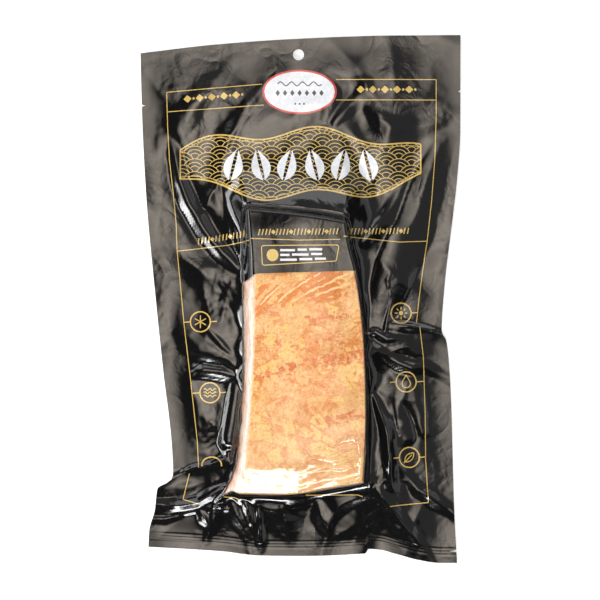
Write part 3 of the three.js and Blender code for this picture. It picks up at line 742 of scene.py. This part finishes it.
# %% Smoked fish
def smoked_fish_finish():
    fish = new_finish("smoked_fish")
    tan = fish.spread(fish.noise(46, 4.0, 0.6, rough=0.55), 0.44, 0.62, 0, 0.9)
    colour = fish.mix(tan, GOLDEN, TAN)
    for share, over in mottling(fish) + stripes_and_flank(fish):
        colour = fish.mix(share, colour, over)
    specks = fish.noise(1300, 3.0)
    colour = fish.mix(1, colour, fish.spread(specks, 0.25, 0.75, 0.86, 1.08), "MULTIPLY")
    relief = fish.calculate(tan, "ADD", fish.calculate(specks, "MULTIPLY", 0.3))
    fish.feed(fish.shader, {"Base Color": colour, "Roughness": 0.55, "IOR": 1.38,
                            "Normal": fish.bump(relief, 0.5, 0.0006)})
    return fish.done()


smoked_fish = smoked_fish_finish()

# %% [markdown]
# The clear film is thin, so light goes straight through it, and only a thin share is mirrored. That share
# grows from one part in fifteen, seen square on, to nearly all at a grazing angle. Faces turned away mirror
# nothing, because a film has no depth in which light could be caught.

# %% Clear film
SQUARE_ON = 0.065  # share of the light that the film mirrors, seen square on
GRAZING = 0.9  # and how much more at a grazing angle


def clear_film_finish():
    film = new_finish("clear_film")
    film.nodes.remove(film.shader)
    facing = film.add("LayerWeight", {"Blend": 0.5}).outputs["Facing"]
    grazing = film.calculate(film.calculate(facing, "POWER", 5.0), "MULTIPLY", GRAZING)
    front = film.calculate(1.0, "SUBTRACT", film.add("NewGeometry", {}).outputs["Backfacing"])
    share = film.calculate(film.calculate(grazing, "ADD", SQUARE_ON), "MULTIPLY", front)
    wrinkles = film.bump(film.noise(260, 4.0, 1.0), 0.3, 0.0005)
    mirror = film.add("BsdfGlossy", {"Roughness": 0.06, "Normal": wrinkles})
    see_through = film.add("BsdfTransparent", {})
    both = film.add("MixShader", {"Fac": share, 1: see_through.outputs["BSDF"], 2: mirror.outputs["BSDF"]})
    output = next(node for node in film.nodes if node.type == "OUTPUT_MATERIAL")
    film.feed(output, {"Surface": both.outputs["Shader"]})
    return film.done()


clear_film = clear_film_finish()

# %% [markdown]
# ## Cut the window out of the film
# The window is not a hole: the film goes on, but without its print. The faces between the window's lines
# are selected and separated, and both sheets then get the thickness of film. The window is subdivided once
# more, because small creases stand in it, most of them at the lower end where spare film is pushed
# together.

# %% Window
first_column, last_column = (line_number(BANDS_ACROSS, place) for place in (WINDOW_LEFT, WINDOW_RIGHT))
first_row, last_row = (line_number(BANDS_ALONG, place) for place in (WINDOW_LOW, WINDOW_HIGH))
in_window = np.zeros((x.shape[0] - 1, x.shape[1] - 1), bool)
in_window[first_row:last_row, first_column:last_column] = True
select_faces(front_film, in_window.ravel())
with edit_mode(front_film):
    bpy.ops.mesh.separate(type="SELECTED")
clear_window = next(thing for thing in bpy.context.selected_objects if thing != front_film)
clear_window.name = clear_window.data.name = "clear_window"
with edit_mode(clear_window):
    bpy.ops.mesh.select_all(action="SELECT")
    bpy.ops.mesh.subdivide(number_cuts=1)

# %% Creases of the window
FILM_CREASES = [
    ("roof", 1.0, 1.2, 1.95, [(20.5, -77.8, 0.5), (24, -76.2, 1), (28.5, -75.4, 1), (31.6, -77.2, 1),
     (33.2, -84, 1), (33.2, -91, 1), (31.6, -97.6, 0.6)]),
    ("roof", 0.55, 1.2, 1.5, [(6, -82.5, 0.4), (14, -80.5, 1), (22, -83, 0.8), (30, -80.5, 0.3)]),
    ("roof", 0.55, 1.4, 1.6, [(1, -88.5, 0.4), (8, -86, 1), (17, -87.5, 0.9), (24, -84.5, 0.9),
     (31, -85.5, 0.3)]),
    ("roof", 0.4, 1.2, 1.6, [(4, -94, 0.4), (13, -91.5, 1), (22, -92, 0.8), (30, -89.5, 0.4)]),
    ("roof", 0.5, 1.2, 1.4, [(1.5, -82, 0.5), (4.2, -85.5, 1), (5, -89.5, 0.6)]),
    ("roof", 0.3, 1.0, 1.4, [(9, -98.5, 0.5), (20, -97, 1), (31, -94.5, 0.4)]),
    ("roof", 0.5, 1.2, 1.2, [(27, -17, 0.2), (31, -13, 0.8), (34, -9, 0.4)]),
    ("roof", 0.5, 1.2, 1.2, [(-28.4, 5, 0.3), (-27, -8, 0.9), (-27.6, -24, 1), (-28, -34, 0.4)]),
    ("roof", 0.5, 1.2, 1.2, [(-29, -40, 0.3), (-28.6, -52, 1), (-30.4, -66, 0.8), (-31, -76, 0.4)])]
places = np.empty(3 * len(clear_window.data.vertices))
clear_window.data.vertices.foreach_get("co", places)
wx, wy, wz = places.reshape(-1, 3).T / MM
taut = smooth(-wy, 86, 92) * (1 - smooth(wx, -6, 0)) * smooth(wx, -33, -29)  # at the lower left
ahead, aside = wx * 0.94 + wy * 0.34, wy * 0.94 - wx * 0.34  # along and across the streaks of the lower right
streaked = smooth(wx, -8, 2) * smooth(-wy, 70, 86)
ripples_z = 0.12 * ripple(wx, wy * 1.6, 6, 4.4) + streaked * 0.3 * ripple(ahead / 3, aside, 3.6, 8.8)
ripples_z += 0.3 * ripple(wx, wy / 2, 1.6, 6.6) * (1 - smooth(wx - rim_left(wy), -2, 1))  # on the flank
creased_z = wz + all_folds(FILM_CREASES, wx, wy) + lerp(ripples_z, -flakes(wx, wy), taut)
set_points(clear_window, wx, wy, lerp(creased_z, wz, smooth(wy, -4, 13)))
thicken(clear_window, FILM_WALL)
soften(clear_window, 70)
finish_piece(clear_window, clear_film, "clear_film", ["window_film"])

# %% [markdown]
# ## Back film, hang hole and tear notches
# The back film lies flat under the fillet and curls up with the seals. The hole and the notches are punched
# through both films at once, so one joined cutter is subtracted from each.

# %% Back film
back_x, back_y, _ = grid_points([(left_edge, right_edge, 70, 0, 0)], [(bottom_edge, top_edge, 116, 0, 0)])
back_film = new_grid("back_film", back_x.shape[1] - 1, back_x.shape[0] - 1)
back_share = 1 - smooth(edge_distance(back_x, back_y), 6, 30)
set_points(back_film, back_x, back_y, lift(back_x, back_y) + FILM_WALL + wave(back_x, back_y) * back_share)
thicken(back_film, FILM_WALL)
thicken(front_film, FILM_WALL)

# %% Punch the hole and the notches
HOLE = (-1.1, 134.2, 3.05)  # centre and radius
PUNCH_LENGTH = 0.04  # metres, long enough for the curled seals
NOTCHES = [((-85.2, 106.2), (-90, 106.2), 1.4), ((86.5, 114.1), (91, 114.1), 2.2),
           ((81.5, -138.6), (90, -138.2), 1.1)]  # tip, middle of the mouth and half its width
deselect()
bpy.ops.mesh.primitive_cylinder_add(vertices=48, radius=HOLE[2] * MM, depth=PUNCH_LENGTH,
                                    location=(HOLE[0] * MM, HOLE[1] * MM, 0))
cutters = [bpy.context.object]
for tip, mouth, half in NOTCHES:
    deselect()
    bpy.ops.mesh.primitive_cylinder_add(vertices=3, radius=1, depth=PUNCH_LENGTH)
    wedge = bpy.context.object
    corners = [tip, (mouth[0], mouth[1] + half), (mouth[0], mouth[1] - half)]
    if tip[0] > 0:
        corners.reverse()
    # the same three angles turn up at the top and the bottom of the wedge, so each names one corner
    by_angle = sorted({round(math.atan2(v.co.y, v.co.x), 3) for v in wedge.data.vertices})
    for vertex in wedge.data.vertices:
        corner = corners[by_angle.index(round(math.atan2(vertex.co.y, vertex.co.x), 3))]
        vertex.co.x, vertex.co.y = corner[0] * MM, corner[1] * MM
    cutters.append(wedge)
cutter = join(cutters, "punch")
settle(cutter)
with edit_mode(cutter):
    face_outwards()
for thing in (front_film, back_film):
    punched = thing.modifiers.new("punched", "BOOLEAN")
    punched.operation = "DIFFERENCE"
    punched.solver = "MANIFOLD"
    punched.object = cutter
    before = len(thing.data.vertices)
    apply_all(thing)
    print(thing.name, "changed from", before, "to", len(thing.data.vertices), "vertices")
    soften(thing, 60)
bpy.data.objects.remove(cutter)
finish_piece(front_film, black_film, "black_film", ["pouch"])
finish_piece(back_film, black_film, "black_film", ["pouch"])

# %% [markdown]
# ## The fillet
# The fillet is a block with a low crown and slanted sides. Its upper face and its sides are one primitive
# grid, laid along the same guide lines as the film, so the two never cut through each other. The grid's
# border is then extruded down and closed with one face. Lumps and dips give it the relief of flaked flesh.

# %% Marks on the fillet
STRIPES = [  # orange muscle between the fat lines: half widths and run
    (1.8, [(-24, 0.2, 0.5), (-20, 6.3, 1)]), (2.0, [(-24.3, -6, 0.8), (-18, 1, 1), (-13.3, 6.3, 0.5)]),
    (1.8, [(-24.7, -10, 0.7), (-19, -5.1, 0.6)]), (2.6, [(-15.1, -3.8, 0.6), (-10, 1, 1), (-7.2, 3.7, 0.5)]),
    (1.8, [(-10.3, -4.2, 0.5), (-3.7, 2.8, 0.8)]),
    (3.5, [(-5, 2.8, 0.3), (0.7, 7.2, 0.8), (6.8, 12, 1), (15.6, 15, 1)]),
    (2.0, [(0.7, 3.7, 0.5), (10.3, 7.6, 1), (21.7, 13.7, 0.9)]),
    (1.9, [(2.5, 1.5, 0.5), (13.9, 5.9, 1), (22.6, 9.8, 0.7)]),
    (1.8, [(6.8, -0.3, 0.5), (17.3, 3.2, 1), (26.1, 6.3, 0.6)]),
    (1.5, [(12, -1.2, 0.4), (19, 1, 0.9), (28, 4, 0.4)])]
SEAMS = [
    (5.2, [(-24.3, -44.1, 0.7), (-16.8, -40.2, 1), (-8.1, -38.4, 0.9), (3.4, -35.8, 0.7), (13.9, -34, 1),
           (24.4, -32.7, 0.9), (34, -31.4, 1)]),
    (5.0, [(-5.4, -71.8, 0.4), (6.8, -68.3, 0.6), (17.3, -66, 1), (27.9, -63.9, 0.9), (35, -62.1, 0.7)]),
    (4.0, [(-2, -8, 0.4), (8, -12, 1), (20, -9, 0.9), (30, -11, 0.5)]),
    (4.0, [(-20, -27, 0.5), (-10, -24, 0.9), (3, -28, 0.6), (12, -22, 0.8), (26, -25, 0.5)])]
FAT = [
    (0.65, [(-16.5, -6, 0.5), (-10, 0.5, 1), (0, 8, 1), (12, 15, 0.8)]),
    (0.6, [(-4, -1, 0.5), (8, 5.5, 1), (22, 12, 1), (28, 15, 0.8)]),
    (0.6, [(-22, -3, 0.6), (-15, 4, 1), (-9, 9, 0.6)]),
    (0.6, [(4, 0.5, 0.5), (16, 4.8, 1), (27, 8.5, 1)])]


def marks(lines, x, y):
    """A share from 0 to 1 for places on these lines, whose edges wander a little."""
    wander_x = x + 0.7 * ripple(x, y, 3.4, 12.1)
    wander_y = y + 0.7 * ripple(x, y, 3.4, 15.8)
    return all_folds([("tube", 1, width, width, run) for width, run in lines], wander_x, wander_y)


# %% Fillet
FISH_ACROSS = [(foot_left, rim_left, 12, 0, 1), (rim_left, rim_right, 118, 1, 1),
               (rim_right, foot_right, 9, 1, 0)]
FISH_ALONG = [(foot_bottom, rim_bottom, 10, 0, 1), (rim_bottom, rim_top, 244, 1, 1),
              (rim_top, foot_top, 9, 1, 0)]
fx, fy, fish_lift = grid_points(FISH_ACROSS, FISH_ALONG)
lumps = 0.22 * ripple(fx, fy, 5.5, 7.7) + 0.1 * ripple(fx, fy, 2.2, 3.9)
seam_dip = 0.2 * marks(SEAMS, fx, fy) ** 3
fish_z = lerp(FILLET_BASE + FISH_WALL, fillet_top(fx, fy) + lumps - seam_dip + FILLET_BASE, fish_lift)
across_share = (fx - foot_left(fy)) / (rim_left(fy) - foot_left(fy))
rough_flank = (ripple(fx, fy, 5, 2.2) + 0.6 * ripple(fx, fy, 2, 6.1)) * (1 - smooth(across_share, 0.5, 1.2))
fillet = new_grid("fillet", fx.shape[1] - 1, fx.shape[0] - 1)
set_points(fillet, fx + 0.6 * rough_flank, fy, fish_z)
for name, values in (("stripe", marks(STRIPES, fx, fy)), ("seam", marks(SEAMS, fx, fy)),
                     ("fat", marks(FAT, fx, fy)), ("flank", 1 - smooth(across_share, 0.75, 1.1)),
                     # painted glare, growing paler towards the fillet's lower end
                     ("painted_glare", 0.3 * smooth(-fy, 40, 95)),
                     ("edge", 0.6 - 0.6 * smooth(across_share + 0.25 * ripple(fx, fy, 7, 5.3), 0.1, 0.3))):
    set_attribute(fillet, name, values)
with edit_mode(fillet):
    bpy.ops.mesh.select_all(action="SELECT")
    bpy.ops.mesh.region_to_loop()
    bpy.ops.mesh.extrude_edges_move()
for vertex in fillet.data.vertices:
    if vertex.select:
        vertex.co.z = FILLET_BASE * MM
with edit_mode(fillet):
    bpy.ops.mesh.edge_face_add()
    face_outwards()
soften(fillet, 50)
finish_piece(fillet, smoked_fish, "smoked_fish", ["salmon_fillet"])

# %% [markdown]
# ## The print
# Gold, white and red ink lie on the film, so each colour is one thin piece. Lines and shapes are first laid
# out flat above the pack, as on a printing plate. A Shrinkwrap modifier then projects them straight down on
# the film, so they run over every fold. The plate could be painted in the shader instead, but real shapes
# keep sharp edges and export well. The ornaments are plain ones: scallops, leaves, dots and small signs.

# %% Plate helpers
PLATE_Z = 40  # height of the flat plate above the pack
INK = 0.03  # thickness of the ink
LINE = 0.45  # usual line width
plates = {"gold": [], "white": [], "red": [], "dark": []}


def walk(points, step=0.5):
    """Evenly spaced places along straight stretches, with every corner kept."""
    places = [points[0]]
    for (ax, ay), (bx, by) in zip(points, points[1:]):
        count = max(1, round(math.hypot(bx - ax, by - ay) / step))
        places += [(lerp(ax, bx, k / count), lerp(ay, by, k / count)) for k in range(1, count + 1)]
    return np.array(places)


def line(ink, points, width=LINE):
    """A printed line: a narrow grid laid along the walk."""
    path = walk(points)
    ahead = np.gradient(path, axis=0)
    ahead /= np.linalg.norm(ahead, axis=1, keepdims=True)
    side = np.stack([-ahead[:, 1], ahead[:, 0]], axis=1) * width / 2
    lanes = np.stack([path - side, path, path + side])
    strip = new_grid("line", len(path) - 1, 2)
    set_points(strip, lanes[..., 0], lanes[..., 1], np.full(lanes.shape[:2], PLATE_Z))
    plates[ink].append(strip)
    return strip


def shape(ink, centre, length, low, high, turned=0, rows=6):
    """A filled shape between the curves low and high, which read from -1 to 1 along its length."""
    u = np.linspace(-1, 1, max(6, round(length / 0.6)) + 1)
    v = np.linspace(0, 1, rows + 1)[:, None]
    across = lerp(low(u), high(u), v)
    along = np.broadcast_to(u * length / 2, across.shape)
    cosine, sine = math.cos(math.radians(turned)), math.sin(math.radians(turned))
    patch = new_grid("shape", across.shape[1] - 1, rows)
    set_points(patch, centre[0] + along * cosine - across * sine, centre[1] + along * sine + across * cosine,
               np.full(across.shape, PLATE_Z))
    plates[ink].append(patch)


def even_shape(ink, centre, length, half_width, turned=0, rows=2):
    """A shape with the same half width on both sides of its length."""
    shape(ink, centre, length, lambda u: -half_width(u), half_width, turned, rows)


def bar(ink, centre, length, width, turned=0):
    even_shape(ink, centre, length, lambda u: width / 2 + 0 * u, turned)


def diamond(ink, centre, length, width, turned=0):
    even_shape(ink, centre, length, lambda u: width / 2 * (1 - abs(u)), turned)


def oval(ink, centre, length, width):
    even_shape(ink, centre, length, lambda u: width / 2 * np.sqrt(1 - u * u), rows=max(2, round(width / 0.8)))


def arc(centre, radii, start=0, end=360, count=40):
    """Places on part of an ellipse, by degrees."""
    turns = [math.radians(lerp(start, end, k / count)) for k in range(count + 1)]
    return [(centre[0] + radii[0] * math.cos(t), centre[1] + radii[1] * math.sin(t)) for t in turns]


# %% Gold frame
FRAME = [
    [(-73.5, 113.5), (-73, 95.75), (-72, 76.5), (-70.25, 61.25), (-68.25, 41), (-67.75, 26.25), (-64, -13.75),
     (-60.5, -43.5), (-56.75, -77.5), (-56, -92.5)],
    [(-61, -95.75), (-64.5, -110), (-56.5, -112.25)], [(-42.25, -108.5), (-36.25, -109), (-32.75, -110.5)],
    [(-73.5, 113.5), (-21.25, 118)], [(-72.75, 102.75), (-20.25, 106.5)], [(19.5, 120.5), (74.5, 120.5)],
    [(19.5, 109.25), (74.25, 109.25)],
    [(74.5, 120.5), (74.5, 100), (73.75, 76.5), (72, 53.75), (69.5, 31.25), (67, 14.5), (65.25, 1.25),
     (63.75, -12.75)],
    [(65.5, -15), (67.5, -32), (68.5, -63.75), (68.75, -88.5), (70.25, -111.75)],
    [(70.25, -111.75), (49, -113.75)], [(34.25, -108.5), (31.5, -107.5), (3, -107.75)],
    [(-67.5, 26.25), (-40, 29.5), (-28, 32)], [(-27.25, 33), (-0.25, 32), (21.5, 32.5)],
    [(23.5, 34.25), (37, 33), (54.25, 31.25), (69.5, 31.75)]]
for run in FRAME:
    line("gold", run)

# %% [markdown]
# Small rows of ornament fill the fields of the frame: diamonds between dots in the two upper fields, and a
# string of dashes above the middle line. The rounded box under it holds a disc and three rows of dashes.

# %% Rows of small ornament
def row_of_signs(start, end, step, signs):
    """Repeats a few signs along a straight row; each one draws itself at a place with a tilt."""
    tilt = math.degrees(math.atan2(end[1] - start[1], end[0] - start[0]))
    count = round(math.hypot(end[0] - start[0], end[1] - start[1]) / step)
    for k in range(count + 1):
        place = (lerp(start[0], end[0], k / count), lerp(start[1], end[1], k / count))
        signs[k % len(signs)](place, tilt)


def big_diamond(place, tilt):
    diamond("gold", place, 4.4, 4.4, tilt)


def dot(place, tilt):
    oval("gold", place, 1.4, 1.4)


def stroke(place, tilt):
    bar("gold", place, 3.4, 0.6, tilt + 76)


def small_diamond(place, tilt):
    diamond("gold", place, 2.6, 2.6, tilt)


row_of_signs((-62, 109.8), (-32, 112.3), 3.4, [big_diamond, dot])
row_of_signs((33, 115), (63, 115), 3.4, [big_diamond, dot])
for start, end in (((-56, 31.6), (-31, 35.6)), ((-22.5, 36.4), (20, 36.8)), ((28, 37), (59, 37.4))):
    row_of_signs(start, end, 1.9, [stroke, stroke, stroke, stroke, small_diamond])
BOX_CORNERS = [((19.6, 28.2), 0), ((-20.0, 27.9), 90), ((-19.6, 19.6), 180), ((18.4, 21.8), 270)]
box_outline = []
for corner, start in BOX_CORNERS:
    box_outline += arc(corner, (1.2, 1.2), start, start + 90, 5)
line("gold", box_outline + box_outline[:1], 0.5)
oval("gold", (-15.2, 23.9), 6.6, 6.6)
for row, lengths in enumerate([(8, 5, 7), (5, 9, 6), (9, 7, 6)]):
    along = -11
    for length in lengths:
        bar("white", (along + length / 2, 26.9 - 2.6 * row + along * 0.03), length, 1.2)
        along += length + 1.4

# %% Signs in rings
RING = 5.5


def leaf_outline(centre, length, width, turned=0):
    turn = math.radians(turned)
    points = []
    for k in range(25):
        u = -1 + k / 6 if k <= 12 else 3 - k / 6
        side = width / 2 * (1 - u * u) * (1 if k <= 12 else -1)
        points.append((centre[0] + u * length / 2 * math.cos(turn) - side * math.sin(turn),
                       centre[1] + u * length / 2 * math.sin(turn) + side * math.cos(turn)))
    return points


def crystal(x0, y0):
    for k in range(3):
        turn = math.radians(30 + 60 * k)
        reach = (3.5 * math.cos(turn), 3.5 * math.sin(turn))
        line("gold", [(x0 - reach[0], y0 - reach[1]), (x0 + reach[0], y0 + reach[1])], 0.55)


def ripples(x0, y0):
    for row in (-1.8, 0, 1.8):
        line("gold", [(x0 - 3.4 + k * 0.4, y0 + row + 0.55 * math.sin(k * 0.92)) for k in range(18)], 0.55)


def star(x0, y0):
    oval("gold", (x0, y0), 2.4, 2.4)
    for k in range(8):
        turn = math.radians(45 * k)
        bar("gold", (x0 + 2.7 * math.cos(turn), y0 + 2.7 * math.sin(turn)), 1.5, 0.55, 45 * k)


def drop(x0, y0):
    line("gold", [(x0, y0 + 3.8)] + arc((x0, y0 - 0.9), (2.3, 2.3), 30, -210, 24) + [(x0, y0 + 3.8)], 0.55)


def leaf(x0, y0):
    line("gold", leaf_outline((x0, y0), 7, 3.6, 45), 0.55)
    line("gold", [(x0 - 3, y0 - 3), (x0 + 1.4, y0 + 1.4)], 0.5)


SIGNS = [((-55, -12.5), crystal, -64, -46), ((-49.75, -51.5), ripples, -59.25, -41),
         ((55.25, -7.75), star, 49, 64.25), ((58, -45.5), drop, 49, 67.75), ((59.75, -87), leaf, 51, 68.75)]
for (x0, y0), sign, stub_left, stub_right in SIGNS:
    line("gold", arc((x0, y0), (RING, RING)), 0.7)
    line("gold", [(stub_left, y0 - 0.3), (x0 - RING, y0)], 0.6)
    line("gold", [(x0 + RING, y0), (stub_right, y0 + 0.3)], 0.6)
    sign(x0, y0)
line("gold", arc((-48.75, -91), (5.4, 4.2), -10, 190, 24), 0.7)

# %% [markdown]
# The large ornament is a band of scallops between two wavy lines, like small waves on water. One pair of
# scallops is modelled, two Array modifiers repeat it over a rectangle, and the faces outside the band are
# deleted. The band thins towards its ends. A row of white leaves stands upright before it.

# %% Scallop band and leaves
BAND_HALF = 66
SCALLOP = 7.0


def band_edge(x, side):
    return 74 + side * (17.5 - 9.5 * np.abs(x / BAND_HALF) ** 2.2) + 3.2 * np.sin(x / 9.5 + 0.6)


unit = []
for column, row in ((0, 0), (SCALLOP, SCALLOP / 2)):
    centre = (-BAND_HALF - 6 + column, 49 + row)
    for part, start in ((1, 30), (0.72, 35), (0.44, 36)):
        unit.append(line("gold", arc(centre, (SCALLOP * part, SCALLOP * part), start, 180 - start, 14), 0.4))
for strip in unit:
    plates["gold"].remove(strip)
scallops = join(unit, "scallops")
for count, offset in ((11, (2 * SCALLOP, 0)), (7, (0, SCALLOP))):
    array = scallops.modifiers.new("repeat", "ARRAY")
    array.count = count
    array.use_relative_offset = False
    array.use_constant_offset = True
    array.constant_offset_displace = (offset[0] * MM, offset[1] * MM, 0)
apply_all(scallops)
middles = np.array([face.center for face in scallops.data.polygons]) / MM
outside = ((middles[:, 1] > band_edge(middles[:, 0], 1)) | (middles[:, 1] < band_edge(middles[:, 0], -1))
           | (np.abs(middles[:, 0]) > BAND_HALF))
select_faces(scallops, outside)
with edit_mode(scallops):
    bpy.ops.mesh.delete(type="FACE")
plates["gold"].append(scallops)
band_places = np.linspace(-BAND_HALF, BAND_HALF, 90)
for side in (-1, 1):
    line("gold", [(u, float(band_edge(u, side))) for u in band_places], 0.8)
    line("gold", [(u, float(band_edge(u, side)) - side * 1.5) for u in band_places], 0.35)
for end in (-BAND_HALF, BAND_HALF):
    line("gold", [(end, float(band_edge(end, -1))), (end, float(band_edge(end, 1)))], 0.8)
LEAVES = 6
LEAF_LENGTH = 17.4


def outer_side(u):
    return 0.5 + 4.6 * (1 - u * u) * (1 - 0.35 * u)


def inner_side(u):
    return 0.5 + 0.4 * (1 - u * u)


for k in range(LEAVES):
    place = (lerp(-36.7, 37, k / (LEAVES - 1)), 73.4)
    lean = 90 + (14 if k % 2 else -14)
    shape("white", place, LEAF_LENGTH, inner_side, outer_side, lean)
    shape("white", place, LEAF_LENGTH, lambda u: -outer_side(u), lambda u: -inner_side(u), lean)

# %% Oval badge
BADGE = (-0.5, 113.7)
oval("white", BADGE, 38.8, 22.4)
line("red", arc(BADGE, (19.9, 11.7), count=90), 1.1)
line("dark", [(BADGE[0] - 12 + k * 0.5, BADGE[1] + 4.4 + 1.1 * math.sin(k * 0.52)) for k in range(49)], 0.6)
for k in range(7):
    diamond("dark", (BADGE[0] + 4 * (k - 3), BADGE[1] - 0.6), 3.4, 2.4, 90)
for k in range(3):
    oval("dark", (BADGE[0] + 2.4 * (k - 1), BADGE[1] - 6.6), 1.1, 1.1)

# %% Inks
INKS = {  # colour, height over the film in millimetres, and material slot
    "gold": (srgb(226, 190, 96), 0.04, "gold_print"), "white": (srgb(243, 246, 252), 0.07, "white_print"),
    "red": (srgb(214, 58, 44), 0.04, "red_print"), "dark": (srgb(52, 56, 62), 0.1, "black_film")}


def ink_finish(ink, colour):
    """Ink that is a little worn, under the gloss of the film."""
    paint = new_finish(ink + "_ink")
    worn = paint.spread(paint.noise(700, 3.0), 0.3, 0.75)
    deep = tuple(channel * 0.85 for channel in colour[:3]) + (1,)
    paint.feed(paint.shader, {"Base Color": paint.mix(worn, deep, colour), "Roughness": 0.4,
                              "Coat Weight": 1.0, "Coat Roughness": 0.12, "Coat IOR": FILM_IOR})
    return paint.done()


for ink, (colour, height, slot) in INKS.items():
    piece = join(plates[ink], ink + "_print")
    settle(piece)
    wrap = piece.modifiers.new("laid on the film", "SHRINKWRAP")
    wrap.target = front_film
    wrap.wrap_method = "PROJECT"
    wrap.use_project_z = True
    wrap.use_negative_direction = True
    wrap.use_positive_direction = False
    wrap.offset = height * MM
    apply_all(piece)
    thicken(piece, INK)
    soften(piece, 60)
    finish_piece(piece, ink_finish(ink, colour), slot, ["pouch"])

# %% [markdown]
# ## Light and camera
# The black film is a mirror, so the lights are placed for what it should mirror. A large warm panel
# overhead, brightest in its middle, gives the level film its grey sheen. A long lamp in the south and a
# broad one in the west, both as if behind cloth, give the sharp white lines on the folds and the glare on
# the lower end of the window. A cool window in the north-west lights the far flanks, and dim walls and a
# ceiling fill the rest.

# %% Floor and lights
deselect()
bpy.ops.mesh.primitive_plane_add(size=8, location=(0, 0, 0))
floor = bpy.context.object
floor.name = "floor"
floor_paint = new_finish("floor_paint")
floor_paint.feed(floor_paint.shader, {"Base Color": (0.95, 0.95, 0.95, 1), "Roughness": 0.9,
                                      "Emission Color": (1, 1, 1, 1), "Emission Strength": 0.5})
floor.data.materials.append(floor_paint.done())


def panel(name, place, size, radiance, colour=(1, 1, 1), flat=False):
    """A soft box that faces the pack or the floor: size in metres, radiance as a share of paper white."""
    data = bpy.data.lights.new(name, "AREA")
    data.shape = "RECTANGLE"
    data.size, data.size_y = size
    data.energy = radiance * math.pi * size[0] * size[1]
    data.color = colour
    lamp = bpy.data.objects.new(name, data)
    bpy.context.collection.objects.link(lamp)
    lamp.location = place
    if not flat:
        lamp.rotation_euler = (-Vector(place)).to_track_quat("-Z", "Y").to_euler()
    lamp.visible_camera = False
    return data


def dim_towards_edges(data, falloff, reach=0.5):
    """Makes a panel brightest in its middle, as a lamp behind cloth is."""
    cloth = Finish(data)
    place = cloth.add("NewGeometry", {}).outputs["Parametric"]
    centred = cloth.add("Mapping", {"Vector": place, "Location": (-0.5, -0.5, 0)}).outputs["Vector"]
    distance = cloth.add("VectorMath", {0: centred}, operation="LENGTH").outputs["Value"]
    fade = cloth.add("MapRange", {"Value": distance, "From Max": reach, "To Min": 1, "To Max": 0},
                     interpolation_type=falloff).outputs["Result"]
    cloth.feed(cloth.shader, {"Strength": fade})


overhead = panel("overhead", (0.015, 0.06, 1.7), (0.9, 1.2), 3.65, (1.0, 0.885, 0.75), flat=True)
window = panel("north_west_window", (-0.75, 0.85, 1.3), (1.0, 0.8), 3.3, (0.94, 0.96, 1.0))
south = panel("south_lamp", (-0.25, -1.29, 1.3), (1.7, 0.27), 24.0)
west = panel("west_lamp", (-1.38, -0.56, 1.2), (1.1, 0.5), 17.0)
dim_towards_edges(overhead, "LINEAR")
dim_towards_edges(window, "SMOOTHSTEP")
dim_towards_edges(south, "SMOOTHSTEP", 0.75)
dim_towards_edges(west, "SMOOTHSTEP", 0.6)
panel("ceiling", (0.9, 0.7, 1.95), (2.6, 2.4), 0.2, flat=True)
panel("north_wall", (0.1, 1.5, 1.0), (2.2, 1.0), 1.5, (0.98, 0.97, 1.0))
panel("east_wall", (1.5, 0.1, 1.1), (2.0, 0.8), 0.5)
panel("west_wall", (-1.6, 0.1, 0.75), (1.8, 0.7), 5.0)
world = bpy.data.worlds.new("studio")
world.use_nodes = True
world.node_tree.nodes["Background"].inputs["Color"].default_value = (0.03, 0.03, 0.03, 1)
bpy.context.scene.world = world
bpy.context.scene.view_settings.view_transform = "Standard"

# %% Camera
SHOWN_WIDTH = 0.330
CAMERA_HEIGHT = 1.8
camera_data = bpy.data.cameras.new("camera")
camera = bpy.data.objects.new("camera", camera_data)
bpy.context.collection.objects.link(camera)
camera.location = (-0.000275, -0.00055, CAMERA_HEIGHT)
camera_data.sensor_width = 36
camera_data.lens = 36 * CAMERA_HEIGHT / SHOWN_WIDTH
camera_data.clip_end = 100
bpy.context.scene.camera = camera
